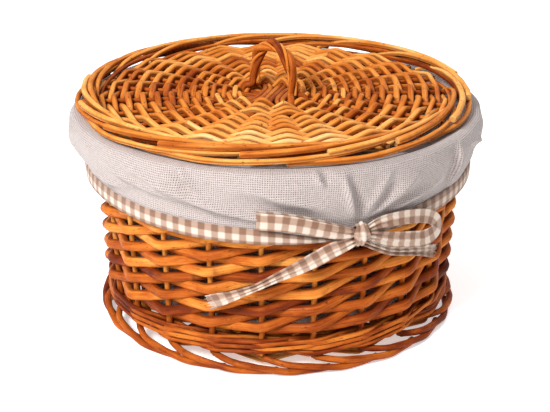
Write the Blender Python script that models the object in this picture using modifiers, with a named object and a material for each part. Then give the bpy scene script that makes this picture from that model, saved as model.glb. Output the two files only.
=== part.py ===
"""A round willow pie basket with a lift-off lid and a cloth liner.

The wall is French randed: as many rods as stakes, and each rod passes outside one stake and inside the next
while it climbs. Every stake is one rod: its foot is swept round under its neighbours, and its top is turned
down into the rim border. The lid is woven on a star of crossed sticks by two rods that chase each other, and
carries a handle of two twisted rods. The liner is a bag, a cuff turned down over the rim, a checked hem band
and a ribbon tied in a bow.

Metres, +Z up. The origin is the middle of the footprint, and the front is at -Y.
"""

import collections
import math

import bmesh
import bpy
from mathutils import Matrix, Vector

# Clearances and overruns
CLEARANCE = 0.0003
FUSE_DEPTH = 0.0012
WELD_DISTANCE = 0.000001
HEX_TURN = math.radians(30.0)

# Sides of the rods: 4 where they are woven flat and close, 6 elsewhere
SLIM_ROD_FACE_COUNT = 4
ROD_FACE_COUNT = 6

# Stakes, the uprights of the wall
STAKE_COUNT = 22
STAKE_DIAMETER = 0.0050
FRONT_STAKE_ANGLE = math.radians(-95.0)
WALL_FOOT_RADIUS = 0.1315
WALL_RIM_RADIUS = 0.1400
WALL_FLARE_POWER = 1.5
WALL_FOOT_HEIGHT = 0.0110
BORDER_HEIGHT = 0.1582
WALL_HEIGHT_SHARES = (0.55,)

# Foot sweep: each stake runs out under the wale and round to the right
FOOT_REACH = 0.0105
FOOT_SWEEP_SHARES = (0.35, 1.0, 1.50, 1.92, 2.16)
FOOT_REACH_SHARES = (0.34, 0.60, 0.88, 1.0, 1.0)
FOOT_RISE_SHARES = (0.90, 0.60, 0.26, 0.0, 0.0)

# Rim border: each stake passes outside one neighbour and ends inside the next
BORDER_DROP = 0.0056

# Wale, three thin rods that follow each other round above the foot
WALE_ROD_COUNT = 3
WALE_DIAMETER = 0.0036
WALE_HEIGHT = 0.0157
WALE_PITCH = 0.0037
WALE_STROKES = 21
WALE_REPEAT = 3

# Wall weavers
WEAVER_DIAMETER = 0.0066
WEAVER_HEIGHT = 0.0378
WEAVER_CLIMB = 0.0068
WEAVER_TOP_GAP = 0.0180
WEAVER_TIP_SHARE = 0.88

# Base
BASE_HEIGHT = 0.0118
BASE_SIDE_ENDS = (6, 5, 6, 5)
BASE_STICK_DIAMETER = 0.0044
BASE_INNER_RADIUS = 0.0350
BASE_SPLAY_RUN = 0.0105
BASE_RIM_GAP = 0.0155
BASE_INNER_PITCH = 0.0055
BASE_OUTER_PITCH = 0.0095
BASE_TIP_PITCH = 0.0095
BASE_FILL_SHARE = 0.44

# Lid
LID_OVERHANG = 0.0125
LID_ASIDE = 0.0030
LID_TURN = math.radians(-17.2)
LID_SIDE_ENDS = (6, 6, 6, 6)
LID_STICK_DIAMETER = 0.0042
LID_RIM_WIDTH = 0.0187
LID_INNER_RADIUS = 0.0335
LID_SPLAY_RUN = 0.0093
LID_MOUTH_WIDTH = 0.0188
LID_STICK_END = 0.0008
LID_INNER_PITCH = 0.0044
LID_OUTER_PITCH = 0.0070
LID_TIP_PITCH = 0.0042
LID_FILL_SHARE = 0.79

# Star of crossed sticks in the base and in the lid
STICK_GAP = 0.0001
STAR_CLEARANCE = 0.0006
PAIRED_ROWS = 3
PITCH_GROWTH_SHARE = 0.16
SETTLE_ROUNDS = 12

# Lid border: every rod comes out of the star's edge, rises, and runs round to the left, outwards and down
LID_BORDER_COUNT = 16
LID_BORDER_DIAMETER = 0.0060
LID_BORDER_START = 0.0004
LID_BORDER_HEIGHT = 0.0028
LID_BORDER_RISE = 0.0071
LID_BORDER_SWEEP_SHARES = (0.0, 0.0, 0.35, 0.62, 1.15, 1.75, 2.35, 2.92)
LID_BORDER_REACH_SHARES = (0.0, 0.24, 0.25, 0.30, 0.50, 0.72, 0.90, 0.97)
LID_BORDER_RISE_SHARES = (-0.15, 0.0, 0.62, 0.97, 0.95, 0.65, 0.33, 0.11)

# Handle
HANDLE_DIAMETER = 0.0042
HANDLE_SPAN = 0.0440
HANDLE_RISE = 0.0465
HANDLE_TURN_COUNT = 1.5
HANDLE_POINTS = 19
HANDLE_STRAND_OFFSET = 0.0024
HANDLE_HOLE_RADIUS = 0.0284
HANDLE_TAIL = 0.0046
HANDLE_NECK = 0.0072
HANDLE_NECK_SHARE = 0.55
HANDLE_ARCH_POWER = 0.75

# Liner
CLOTH = 0.0009
BAG_SEGMENTS = 24
CUFF_SEGMENTS = 44
LINER_FLOOR_HEIGHT = 0.0224
LINER_EDGE_ROUND = 0.0050
WALL_INSIDE_REACH = 0.0104
LINER_SEAM_DROP = 0.0022
CUFF_PUFF = 0.0070
CROWN_SHARE = 0.60
HEM_DROP = 0.0487
HEM_SIDE_RISE = 0.0060
HEM_STANDOFF = 0.0138
HEM_WIDTH = 0.0125
CUFF_FOLDS = 11
CUFF_FOLD_DEPTH = 0.0018
CUFF_FALL_SHARES = (0.05, 0.26, 0.52, 0.78)
CUFF_REACH_SHARES = (0.90, 1.0, 0.76, 0.34)

# Ribbon
RIBBON_WIDTH = 0.0118
RIBBON_THICKNESS = 0.0008
RIBBON_STANDOFF = 0.0014
KNOT_ANGLE = math.radians(-68.3)
KNOT_LIFT = 0.0055
KNOT_WIDTH = 0.0120
KNOT_DEPTH = 0.0064
KNOT_RISE = 0.0130
KNOT_SEGMENTS = 10
KNOT_RINGS = 7
LOOP_LAYER = 0.0010
LOOP_LIFT = 0.0034
LOOP_ALONG_SHARES = (0.02, 0.30, 0.72, 0.96, 1.0, 0.95, 0.66, 0.28, 0.03)
LOOP_LIFT_SHARES = (0.10, 0.00, 0.05, 0.10, 0.50, 0.95, 1.15, 0.90, 0.40)
LEFT_LOOP_LENGTH = 0.0700
LEFT_LOOP_RISE = 0.0150
LEFT_LOOP_SPREAD = 0.0010
LEFT_LOOP_OUT = 0.0036
RIGHT_LOOP_LENGTH = 0.0680
RIGHT_LOOP_RISE = -0.0140
RIGHT_LOOP_SPREAD = 0.0100
RIGHT_LOOP_OUT = 0.0006
TAIL_ALONG_SHARES = (0.03, 0.20, 0.40, 0.66, 1.0)
TAIL_FALL_SHARES = (0.02, 0.22, 0.44, 0.72, 1.0)
TAIL_CLOSE_SHARES = (0.0, 0.05, 0.45, 0.95, 1.0)
TAIL_DIP = 0.0040
LEFT_TAIL_LENGTH = 0.1060
LEFT_TAIL_DROP = 0.0570
RIGHT_TAIL_LENGTH = 0.0840
RIGHT_TAIL_DROP = 0.0470


def at(angle, radius, height):
    return Vector((radius * math.cos(angle), radius * math.sin(angle), height))


def mix(start, end, share):
    return start + (end - start) * share


# Scene and materials


def clear_scene():
    for existing in list(bpy.data.objects):
        bpy.data.objects.remove(existing, do_unlink=True)


def new_collection(name):
    collection = bpy.data.collections.new(name)
    bpy.context.scene.collection.children.link(collection)
    return collection


def new_empty(name, collection, height):
    empty = bpy.data.objects.new(name, None)
    empty.location.z = height
    collection.objects.link(empty)
    return empty


def new_material(name, colour, roughness):
    material = bpy.data.materials.new(name)
    material.use_nodes = True
    shader = material.node_tree.nodes["Principled BSDF"]
    shader.inputs["Base Color"].default_value = (*colour, 1.0)
    shader.inputs["Roughness"].default_value = roughness
    shader.inputs["Metallic"].default_value = 0.0
    return material


clear_scene()
basket_collection = new_collection("pie_basket")
basket_root = new_empty("basket_root", basket_collection, 0.0)
lid_axis = new_empty("lid_axis", basket_collection, 0.0)

WILLOW = new_material("honey_willow", (0.60, 0.26, 0.07), 0.45)
DARK_WILLOW = new_material("brown_willow", (0.36, 0.12, 0.04), 0.48)
LIGHT_WILLOW = new_material("straw_willow", (0.74, 0.42, 0.14), 0.42)
LINEN = new_material("natural_linen", (0.80, 0.74, 0.69), 0.90)
CHECK = new_material("tan_check_cotton", (0.66, 0.46, 0.34), 0.88)


def add_object(name, data, material, parent, turn=0.0):
    if not data.materials:
        data.materials.append(material)
    obj = bpy.data.objects.new(name, data)
    obj.material_slots[0].link = "OBJECT"
    obj.material_slots[0].material = material
    obj.parent = parent
    obj.rotation_euler.z = turn
    basket_collection.objects.link(obj)
    return obj


# Rods


def rod_curve(name, points, radii, face_count=ROD_FACE_COUNT, twist="Z_UP"):
    """A willow rod through the points, with a radius at each of them."""
    curve = bpy.data.curves.new(name, "CURVE")
    curve.dimensions = "3D"
    curve.twist_mode = twist
    curve.bevel_depth = max(radii)
    curve.bevel_resolution = face_count // 2 - 2
    curve.use_fill_caps = True
    spline = curve.splines.new("POLY")
    spline.points.add(len(points) - 1)
    for point, place, radius in zip(spline.points, points, radii):
        point.co = (*place, 1.0)
        point.radius = radius / curve.bevel_depth
    return curve


def mesh_of(obj):
    """The object's shape as a closed mesh in its parent's frame. The object is removed."""
    bpy.context.view_layer.update()
    graph = bpy.context.evaluated_depsgraph_get()
    mesh = bpy.data.meshes.new_from_object(obj.evaluated_get(graph))
    mesh.transform(obj.matrix_basis)
    bpy.data.objects.remove(obj)
    shape = bmesh.new()
    shape.from_mesh(mesh)
    bmesh.ops.remove_doubles(shape, verts=shape.verts, dist=WELD_DISTANCE)
    shape.to_mesh(mesh)
    shape.free()
    return mesh


def loose_object(name, data, turn=0.0):
    obj = bpy.data.objects.new(name, data)
    obj.rotation_euler.z = turn
    bpy.context.scene.collection.objects.link(obj)
    return obj


def fused(name, meshes, solver="EXACT"):
    """One mesh that joins the meshes, each of which crosses one before it."""
    joined = loose_object(name, meshes[0])
    operands = [loose_object(name + "_operand", mesh) for mesh in meshes[1:]]
    for operand in operands:
        union = joined.modifiers.new("join", "BOOLEAN")
        union.operation = "UNION"
        union.solver = solver
        union.object = operand
    mesh = mesh_of(joined)
    for operand in operands:
        bpy.data.objects.remove(operand)
    return mesh


def weave_offsets(span, half_turn, clear, half_width=0.0):
    """How far a rod's bends lie outside and inside the stakes' centres, to clear each stake by `clear`."""
    outer = inner = clear
    for _ in range(SETTLE_ROUNDS):
        slope = math.atan2(outer + inner, span)
        outer = clear / math.cos(slope + half_turn) + half_width * math.tan(slope)
        inner = clear / math.cos(slope - half_turn) + half_width * math.tan(slope)
    return outer, inner


# Wall


STAKE_RADIUS = STAKE_DIAMETER / 2
STAKE_STEP = math.tau / STAKE_COUNT


def wall_radius(height):
    """Radius of the ring of stake centres at a height."""
    share = max(0.0, height - WALL_FOOT_HEIGHT) / (BORDER_HEIGHT - WALL_FOOT_HEIGHT)
    return mix(WALL_FOOT_RADIUS, WALL_RIM_RADIUS, share**WALL_FLARE_POWER)


def wall_offsets(height, rod_radius):
    span = 2 * wall_radius(height) * math.sin(STAKE_STEP / 2)
    return weave_offsets(span, STAKE_STEP / 2, STAKE_RADIUS + rod_radius + CLEARANCE)


def foot_points():
    """The swept foot, from the rod's end on the ground back up to the bend under the wall."""
    ground_height = STAKE_RADIUS * math.cos(HEX_TURN)
    points = []
    for turn, reach, rise in zip(FOOT_SWEEP_SHARES, FOOT_REACH_SHARES, FOOT_RISE_SHARES):
        radius = WALL_FOOT_RADIUS + FOOT_REACH * reach
        points.append(at(turn * STAKE_STEP, radius, mix(ground_height, WALL_FOOT_HEIGHT, rise)))
    return points[::-1]


def border_points():
    """The rim end: outside the next stake, then inside the one after it."""
    outer, inner = wall_offsets(BORDER_HEIGHT, STAKE_RADIUS)
    return [
        at(STAKE_STEP, WALL_RIM_RADIUS + outer, BORDER_HEIGHT - BORDER_DROP),
        at(2 * STAKE_STEP, WALL_RIM_RADIUS - inner, BORDER_HEIGHT - 2 * BORDER_DROP),
    ]


def stake_curve():
    heights = [WALL_FOOT_HEIGHT]
    heights += [mix(WALL_FOOT_HEIGHT, BORDER_HEIGHT, share) for share in WALL_HEIGHT_SHARES]
    heights.append(BORDER_HEIGHT)
    wall = [at(0.0, wall_radius(height), height) for height in heights]
    points = foot_points() + wall + border_points()
    return rod_curve("stake", points, [STAKE_RADIUS] * len(points))


def make_stakes():
    curve = stake_curve()
    for index in range(STAKE_COUNT):
        turn = FRONT_STAKE_ANGLE + index * STAKE_STEP
        add_object(f"stake_{index + 1:02d}", curve, WILLOW, basket_root, turn)


def weaver_curve():
    """A wall rod: its butt starts inside a stake, and it climbs a level at every stake, up to the border."""
    butt = WEAVER_DIAMETER / 2
    climbs = math.floor((BORDER_HEIGHT - WEAVER_TOP_GAP - WEAVER_HEIGHT) / WEAVER_CLIMB)
    strokes = climbs + 1
    points = []
    radii = []
    for stroke in range(strokes + 1):
        height = WEAVER_HEIGHT + (stroke - 1) * WEAVER_CLIMB
        outer, inner = wall_offsets(height, butt)
        offset = outer if stroke % 2 else -inner
        points.append(at(stroke * STAKE_STEP, wall_radius(height) + offset, height))
        radii.append(mix(butt, butt * WEAVER_TIP_SHARE, stroke / strokes))
    return rod_curve("wall_weaver", points, radii)


def make_wall_weavers():
    curve = weaver_curve()
    for index in range(STAKE_COUNT):
        turn = FRONT_STAKE_ANGLE + index * STAKE_STEP
        material = DARK_WILLOW if index % 3 else WILLOW
        add_object(f"wall_weaver_{index + 1:02d}", curve, material, basket_root, turn)


def make_wale():
    """Rods that run end to end, outside two stakes and inside the third, and rise a level each time round."""
    radius = WALE_DIAMETER / 2
    for rod in range(WALE_ROD_COUNT):
        points = []
        first = rod * WALE_STROKES
        for stroke in range(first, first + WALE_STROKES + 1):
            height = WALE_HEIGHT + WALE_PITCH * stroke / STAKE_COUNT
            outer, inner = wall_offsets(height, radius)
            offset = outer if stroke % WALE_REPEAT else -inner
            turn = stroke * STAKE_STEP
            if stroke == first:
                turn += WALE_DIAMETER / WALL_FOOT_RADIUS
            points.append(at(turn, wall_radius(height) + offset, height))
        curve = rod_curve("wale_rod", points, [radius] * len(points))
        add_object(f"wale_rod_{rod + 1}", curve, LIGHT_WILLOW, basket_root, FRONT_STAKE_ANGLE)


# Star of sticks


class Spoke:
    """One arm of a crossed stick, from the edge of the cross to its own place on the rim."""

    def __init__(self, side, place, index):
        self.side = side
        self.place = place
        self.index = index


class Star:
    """Sticks laid across each other in two layers, that splay in pairs and then singly into spokes."""

    def __init__(self, side_ends, diameter, radius, pair_radius, splay_radius):
        self.side_ends = side_ends
        self.stick_radius = diameter / 2
        self.radius = radius
        self.pair_radius = pair_radius
        self.splay_radius = splay_radius
        self.step = math.tau / sum(side_ends)
        self.pitch = diameter + STICK_GAP
        self.layer = diameter - FUSE_DEPTH
        self.spokes = []
        self.groups = []
        for side, ends in enumerate(side_ends):
            arms = [Spoke(side, place, len(self.spokes) + place) for place in range(ends)]
            self.spokes += arms
            self.groups += self.pairs(arms)

    def pairs(self, arms):
        """The arms of a side two by two, with the middle one single on an odd side."""
        middle = [arms[len(arms) // 2]] if len(arms) % 2 else []
        rest = [arm for arm in arms if arm not in middle]
        groups = [rest[first : first + 2] for first in range(0, len(rest), 2)]
        if middle:
            groups.insert(len(groups) // 2, middle)
        return groups

    def angle(self, spoke):
        return (spoke.index - (self.side_ends[0] - 1) / 2) * self.step

    def group_angle(self, group):
        return sum(self.angle(spoke) for spoke in group) / len(group)

    def half_width(self, group):
        return (len(group) - 1) * self.pitch / 2

    def core(self, side):
        """Half the width of the layer of sticks that this side's sticks cross."""
        return self.side_ends[(side + 1) % len(self.side_ends)] * self.pitch / 2

    def level(self, spoke, radius):
        """Height of a spoke over the star's middle plane: its layer's at the cross, none where it splays."""
        layer = self.layer / 2 if spoke.side % 2 else -self.layer / 2
        share = (self.pair_radius - radius) / (self.pair_radius - self.core(spoke.side))
        return layer * min(1.0, max(0.0, share))

    def spoke_points(self, spoke):
        across = (spoke.place - (self.side_ends[spoke.side] - 1) / 2) * self.pitch
        turn = Matrix.Rotation(spoke.side * math.tau / len(self.side_ends), 3, "Z")
        cross_edge = turn @ Vector((self.core(spoke.side), across, self.level(spoke, 0.0)))
        group = next(group for group in self.groups if spoke in group)
        beside = (group.index(spoke) - (len(group) - 1) / 2) * self.pitch
        facing = Matrix.Rotation(self.group_angle(group), 3, "Z")
        paired = facing @ Vector((self.pair_radius, beside, 0.0))
        angle = self.angle(spoke)
        return [cross_edge, paired, at(angle, self.splay_radius, 0.0), at(angle, self.radius, 0.0)]

    def stick_meshes(self, name):
        meshes = []
        half = len(self.side_ends) // 2
        for spoke in self.spokes:
            if spoke.side >= half:
                continue
            far_place = self.side_ends[spoke.side] - 1 - spoke.place
            far = next(arm for arm in self.spokes if arm.side == spoke.side + half and arm.place == far_place)
            points = self.spoke_points(spoke)[::-1] + self.spoke_points(far)
            curve = rod_curve(name, points, [self.stick_radius] * len(points), SLIM_ROD_FACE_COUNT)
            meshes.append(mesh_of(loose_object(name, curve)))
        return meshes


class Weave:
    """Rows of weaving on a star: where each row lies, and how thick its rod is."""

    def __init__(self, star, rows, fill_share):
        self.star = star
        self.fill_share = fill_share
        self.group_rows = [rows.inner + row * rows.inner_pitch for row in range(PAIRED_ROWS + 1)]
        self.single_rows = [rows.single]
        while self.single_rows[-1] < rows.outer:
            here = self.single_rows[-1]
            growth = min(1.0, (here - rows.single) / (star.radius * PITCH_GROWTH_SHARE))
            pitch = mix(rows.inner_pitch, rows.outer_pitch, growth) if here < rows.mouth else rows.tip_pitch
            self.single_rows.append(here + pitch)

    def row(self, rows, place):
        """Radius and rod radius at a place between two rows."""
        low = min(int(place), len(rows) - 2)
        radius = mix(rows[low], rows[low + 1], place - low)
        return radius, (rows[low + 1] - rows[low]) * self.fill_share / 2

    def crossings(self, rod):
        """What the rod crosses, in order: a group of spokes, the radius and the rod's own radius there."""
        star = self.star
        found = []
        for stroke, group in enumerate(star.groups):
            found.append((group, *self.row(self.group_rows, rod + 2 * stroke / len(star.groups))))
        count = len(star.spokes)
        strokes = (len(self.single_rows) - 3) * count // 2
        for stroke in range(strokes):
            spoke = star.spokes[stroke % count]
            found.append(([spoke], *self.row(self.single_rows, rod + 2 * stroke / count)))
        return found

    def rod_points(self, rod):
        """A spiral rod that goes over one group or spoke and under the next."""
        star = self.star
        crossings = self.crossings(rod)
        turns = [star.group_angle(group) for group, _, _ in crossings]
        points = []
        radii = []
        for stroke, (group, radius, rod_radius) in enumerate(crossings):
            near = [turns[place] for place in (stroke - 1, stroke + 1) if 0 <= place < len(turns)]
            step = min(abs(math.remainder(turn - turns[stroke], math.tau)) for turn in near)
            span = 2 * radius * math.sin(step / 2)
            clear = star.stick_radius + rod_radius + STAR_CLEARANCE
            offset = weave_offsets(span, 0.0, clear, star.half_width(group))[0]
            over = (stroke + rod) % 2 == 0
            height = star.level(group[0], radius) + (offset if over else -offset)
            points.append(at(turns[stroke], radius, height))
            radii.append(rod_radius)
        return points, radii


Rows = collections.namedtuple("Rows", "inner single mouth outer inner_pitch outer_pitch tip_pitch")


def new_star(side_ends, diameter, radius, rows, fill_share):
    """A star whose sticks part in pairs just past the paired rows, and singly just before the single rows."""
    rod_radius = rows.inner_pitch * fill_share / 2
    pair_radius = rows.inner + PAIRED_ROWS * rows.inner_pitch + rod_radius
    return Star(side_ends, diameter, radius, pair_radius, rows.single - rod_radius)


def make_star(name, star, weave, parent, height, turn):
    """The crossed sticks as one piece, and the two rods that chase each other round them."""
    mesh = fused(f"{name}_sticks", star.stick_meshes(name))
    sticks = add_object(f"{name}_sticks", mesh, WILLOW, parent, turn)
    sticks.location.z = height
    for rod, label in enumerate(("a", "b")):
        points, radii = weave.rod_points(rod)
        curve = rod_curve(f"{name}_weaver_{label}", points, radii, SLIM_ROD_FACE_COUNT)
        weaver = add_object(f"{name}_weaver_{label}", curve, LIGHT_WILLOW, parent, turn)
        weaver.location.z = height


def make_base():
    outer = WALL_FOOT_RADIUS - BASE_RIM_GAP
    reach = wall_radius(BASE_HEIGHT) - STAKE_RADIUS - CLEARANCE
    rows = Rows(
        BASE_INNER_RADIUS,
        BASE_INNER_RADIUS + PAIRED_ROWS * BASE_INNER_PITCH + BASE_SPLAY_RUN,
        outer,
        outer,
        BASE_INNER_PITCH,
        BASE_OUTER_PITCH,
        BASE_TIP_PITCH,
    )
    star = new_star(BASE_SIDE_ENDS, BASE_STICK_DIAMETER, reach, rows, BASE_FILL_SHARE)
    weave = Weave(star, rows, BASE_FILL_SHARE)
    make_star("base", star, weave, basket_root, BASE_HEIGHT, FRONT_STAKE_ANGLE + star.step / 2)


LID_RADIUS = WALL_RIM_RADIUS + LID_OVERHANG
LID_STICK_RADIUS = LID_RADIUS - LID_RIM_WIDTH
LID_ROWS = Rows(
    LID_INNER_RADIUS,
    LID_INNER_RADIUS + PAIRED_ROWS * LID_INNER_PITCH + LID_SPLAY_RUN,
    LID_STICK_RADIUS - LID_MOUTH_WIDTH,
    LID_STICK_RADIUS - LID_STICK_END,
    LID_INNER_PITCH,
    LID_OUTER_PITCH,
    LID_TIP_PITCH,
)


def lid_star():
    return new_star(LID_SIDE_ENDS, LID_STICK_DIAMETER, LID_STICK_RADIUS, LID_ROWS, LID_FILL_SHARE)


def seat_lid(weave):
    """Lays the lid so that the last rows under its spokes rest on the cuff, a little left of the middle."""
    points, radii = weave.rod_points(1)
    last_round = len(weave.star.spokes)
    ends = zip(points[-last_round:], radii[-last_round:])
    reach_down = max(radius - point.z for point, radius in ends)
    lid_axis.location.x = -LID_ASIDE
    lid_axis.location.z = rim_top() + CLEARANCE + reach_down


def make_lid():
    star = lid_star()
    weave = Weave(star, LID_ROWS, LID_FILL_SHARE)
    seat_lid(weave)
    make_star("lid", star, weave, lid_axis, 0.0, LID_TURN)


def make_lid_border():
    """Thick rods laid in beside the spokes, that lie over each other round the rim, fused where they touch."""
    radius = LID_BORDER_DIAMETER / 2
    rim = LID_RADIUS - radius
    start = LID_STICK_RADIUS + LID_BORDER_START
    step = math.tau / LID_BORDER_COUNT
    points = []
    for turn, reach, rise in zip(LID_BORDER_SWEEP_SHARES, LID_BORDER_REACH_SHARES, LID_BORDER_RISE_SHARES):
        height = LID_BORDER_HEIGHT + rise * LID_BORDER_RISE
        points.append(at(-turn * step, mix(start, rim, reach), height))
    meshes = []
    for index in range(LID_BORDER_COUNT):
        curve = rod_curve("lid_border", points, [radius] * len(points))
        meshes.append(mesh_of(loose_object("lid_border", curve, index * step)))
    add_object("lid_border", fused("lid_border", meshes), WILLOW, lid_axis, LID_TURN)


def arch_points(strand):
    """A strand of the arch, turning round the arch's own line, which its fellow does half a turn away."""
    top = HANDLE_RISE - HANDLE_DIAMETER / 2 - HANDLE_STRAND_OFFSET
    points = []
    for step in range(HANDLE_POINTS):
        share = step / (HANDLE_POINTS - 1)
        bend = math.pi * share
        phase = math.pi * (2 * HANDLE_TURN_COUNT * share + strand + 0.5)
        outward = HANDLE_STRAND_OFFSET * math.cos(phase)
        across = HANDLE_STRAND_OFFSET * math.sin(phase)
        along = (HANDLE_SPAN / 2 + outward) * math.cos(bend)
        arch = math.sin(bend) ** HANDLE_ARCH_POWER
        points.append(Vector((along, across, HANDLE_NECK + (top - HANDLE_NECK + outward) * arch)))
    return points


def leg_points(arch_end, half_gap):
    """From the foot under the lid, beside a pair of spokes, up to where the leg bends into the arch."""
    along = math.copysign(HANDLE_HOLE_RADIUS * math.cos(half_gap), arch_end.x)
    across = math.copysign(HANDLE_HOLE_RADIUS * math.sin(half_gap), arch_end.y)
    heights = (-HANDLE_TAIL, HANDLE_NECK * HANDLE_NECK_SHARE)
    return [Vector((along, across, height)) for height in heights]


def make_handle():
    """Two rods twisted round each other in an arch, whose ends part and pass down beside a pair of spokes."""
    star = lid_star()
    group, neighbour = star.groups[:2]
    half_gap = (star.group_angle(neighbour) - star.group_angle(group)) / 2
    facing = LID_TURN + star.group_angle(group)
    for strand, label in enumerate(("a", "b")):
        arch = arch_points(strand)
        points = leg_points(arch[0], half_gap) + arch + leg_points(arch[-1], half_gap)[::-1]
        name = f"handle_strand_{label}"
        curve = rod_curve(name, points, [HANDLE_DIAMETER / 2] * len(points), twist="MINIMUM")
        add_object(name, curve, DARK_WILLOW, lid_axis, facing)


# Liner


def turned_sheet(name, profile, segments):
    """The profile turned round the Z axis into an open sheet."""
    outline = bpy.data.meshes.new(name)
    edges = [(first, first + 1) for first in range(len(profile) - 1)]
    outline.from_pydata(profile, edges, [])
    obj = loose_object(name, outline)
    screw = obj.modifiers.new("turn", "SCREW")
    screw.steps = segments
    screw.render_steps = segments
    screw.use_merge_vertices = True
    screw.merge_threshold = WELD_DISTANCE
    return mesh_of(obj)


def add_thickness(obj, thickness, offset):
    solidify = obj.modifiers.new("thickness", "SOLIDIFY")
    solidify.thickness = thickness
    solidify.offset = offset
    solidify.use_even_offset = True


LINER_SEAM_HEIGHT = BORDER_HEIGHT - LINER_SEAM_DROP
HEM_HEIGHT = BORDER_HEIGHT - HEM_DROP
HEM_RADIUS = wall_radius(HEM_HEIGHT) + HEM_STANDOFF
CUFF_PUFF_RADIUS = HEM_RADIUS + CUFF_PUFF


def bag_radius(height):
    return wall_radius(height) - WALL_INSIDE_REACH


def make_liner_bag():
    """The bag inside the basket: a floor, a rounded edge and a wall up to the seam under the cuff."""
    floor = LINER_FLOOR_HEIGHT
    heights = [LINER_SEAM_HEIGHT, (floor + LINER_SEAM_HEIGHT) / 2, floor + LINER_EDGE_ROUND]
    profile = [Vector((bag_radius(height), 0.0, height)) for height in heights]
    profile.append(Vector((bag_radius(floor) - LINER_EDGE_ROUND, 0.0, floor)))
    profile.append(Vector((0.0, 0.0, floor)))
    mesh = turned_sheet("liner_bag", profile, BAG_SEGMENTS)
    bag = add_object("liner_bag", mesh, LINEN, basket_root)
    add_thickness(bag, CLOTH, -1.0)


def rim_top():
    """Top of the cuff, where it lies over the highest border rods."""
    return BORDER_HEIGHT + STAKE_RADIUS * math.cos(HEX_TURN) + CLEARANCE + CLOTH


def hem_height(angle):
    """The hem hangs lower at the front and the back than at the sides."""
    return HEM_HEIGHT + HEM_SIDE_RISE * math.cos(angle) ** 2


def cuff_fall(angle, share):
    """A place on the cuff's outer fall, from the crown at 0 down to the top of the hem at 1."""
    return mix(rim_top(), hem_height(angle) + HEM_WIDTH, share)


def fold(angle, share):
    """How far the soft folds stand out: most at mid fall, and not at all at the crown and the hem."""
    return CUFF_FOLD_DEPTH * math.sin(math.pi * share) * math.sin(CUFF_FOLDS * angle)


def cuff_rows(angle):
    """The cuff's section at an angle, from its seam inside the rim, over the rim and down to the hem."""
    seam = bag_radius(LINER_SEAM_HEIGHT)
    crown = mix(WALL_RIM_RADIUS, CUFF_PUFF_RADIUS, CROWN_SHARE)
    section = [
        (seam, LINER_SEAM_HEIGHT + CLEARANCE),
        (seam, rim_top() - CLOTH),
        (seam + CLOTH, rim_top()),
        (crown, rim_top()),
    ]
    for share, reach in zip(CUFF_FALL_SHARES, CUFF_REACH_SHARES):
        radius = mix(HEM_RADIUS, CUFF_PUFF_RADIUS, reach) + fold(angle, share)
        section.append((radius, cuff_fall(angle, share)))
    section.append((HEM_RADIUS, hem_height(angle) + HEM_WIDTH))
    section.append((HEM_RADIUS, hem_height(angle)))
    return section


def shaped_sheet(name, section, segments):
    """A turned sheet whose section changes with the angle. `section` gives its outer face at an angle."""
    count = len(section(0.0))
    profile = [Vector((HEM_RADIUS, 0.0, -row * HEM_WIDTH)) for row in reversed(range(count))]
    mesh = turned_sheet(name, profile, segments)
    for vertex in mesh.vertices:
        angle = math.atan2(vertex.co.y, vertex.co.x)
        radius, height = section(angle)[round(-vertex.co.z / HEM_WIDTH)]
        vertex.co = at(angle, radius, height)
    return mesh


def make_liner_cuff():
    cuff = add_object("liner_cuff", shaped_sheet("liner_cuff", cuff_rows, CUFF_SEGMENTS), LINEN, basket_root)
    add_thickness(cuff, CLOTH, 1.0)


BAND_RADIUS = HEM_RADIUS + CLEARANCE + CLOTH


def band_rows(angle):
    top = hem_height(angle) + HEM_WIDTH - CLOTH
    return [(BAND_RADIUS, top), (BAND_RADIUS, hem_height(angle))]


def make_hem_band():
    """The checked band round the outside of the hem."""
    band = add_object("hem_band", shaped_sheet("hem_band", band_rows, CUFF_SEGMENTS), CHECK, basket_root)
    add_thickness(band, CLOTH, 1.0)


# Ribbon


RIBBON_RADIUS = BAND_RADIUS + RIBBON_STANDOFF
TAIL_RADIUS = HEM_RADIUS - TAIL_DIP
KNOT_HEIGHT = HEM_HEIGHT + KNOT_LIFT


def ribbon_mesh(name, points):
    """A flat ribbon that stands on edge along the points."""
    curve = rod_curve(name, points, [RIBBON_THICKNESS] * len(points))
    curve.bevel_depth = 0.0
    curve.extrude = RIBBON_WIDTH / 2
    ribbon = loose_object(name, curve)
    strip = loose_object(name, mesh_of(ribbon))
    add_thickness(strip, RIBBON_THICKNESS, 0.0)
    return mesh_of(strip)


def loop_points(side, length, rise, spread, out):
    """A bow's loop: along the hem, round its end and back over itself, opened by `spread`, leaning `out`."""
    points = []
    for along, lift in zip(LOOP_ALONG_SHARES, LOOP_LIFT_SHARES):
        angle = KNOT_ANGLE + side * along * length / RIBBON_RADIUS
        opened = spread * (lift - LOOP_LIFT_SHARES[len(LOOP_LIFT_SHARES) // 2]) * along
        height = KNOT_HEIGHT + rise * along - opened
        points.append(at(angle, RIBBON_RADIUS + LOOP_LAYER + lift * LOOP_LIFT + along * out, height))
    return points


def tail_points(side, length, drop):
    """A ribbon's free end: away from the knot over the hem, and down until it lies along the wall."""
    points = []
    for along, fall, close in zip(TAIL_ALONG_SHARES, TAIL_FALL_SHARES, TAIL_CLOSE_SHARES):
        angle = KNOT_ANGLE + side * along * length / RIBBON_RADIUS
        points.append(at(angle, mix(RIBBON_RADIUS, TAIL_RADIUS, close), KNOT_HEIGHT - fall * drop))
    return points


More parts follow.
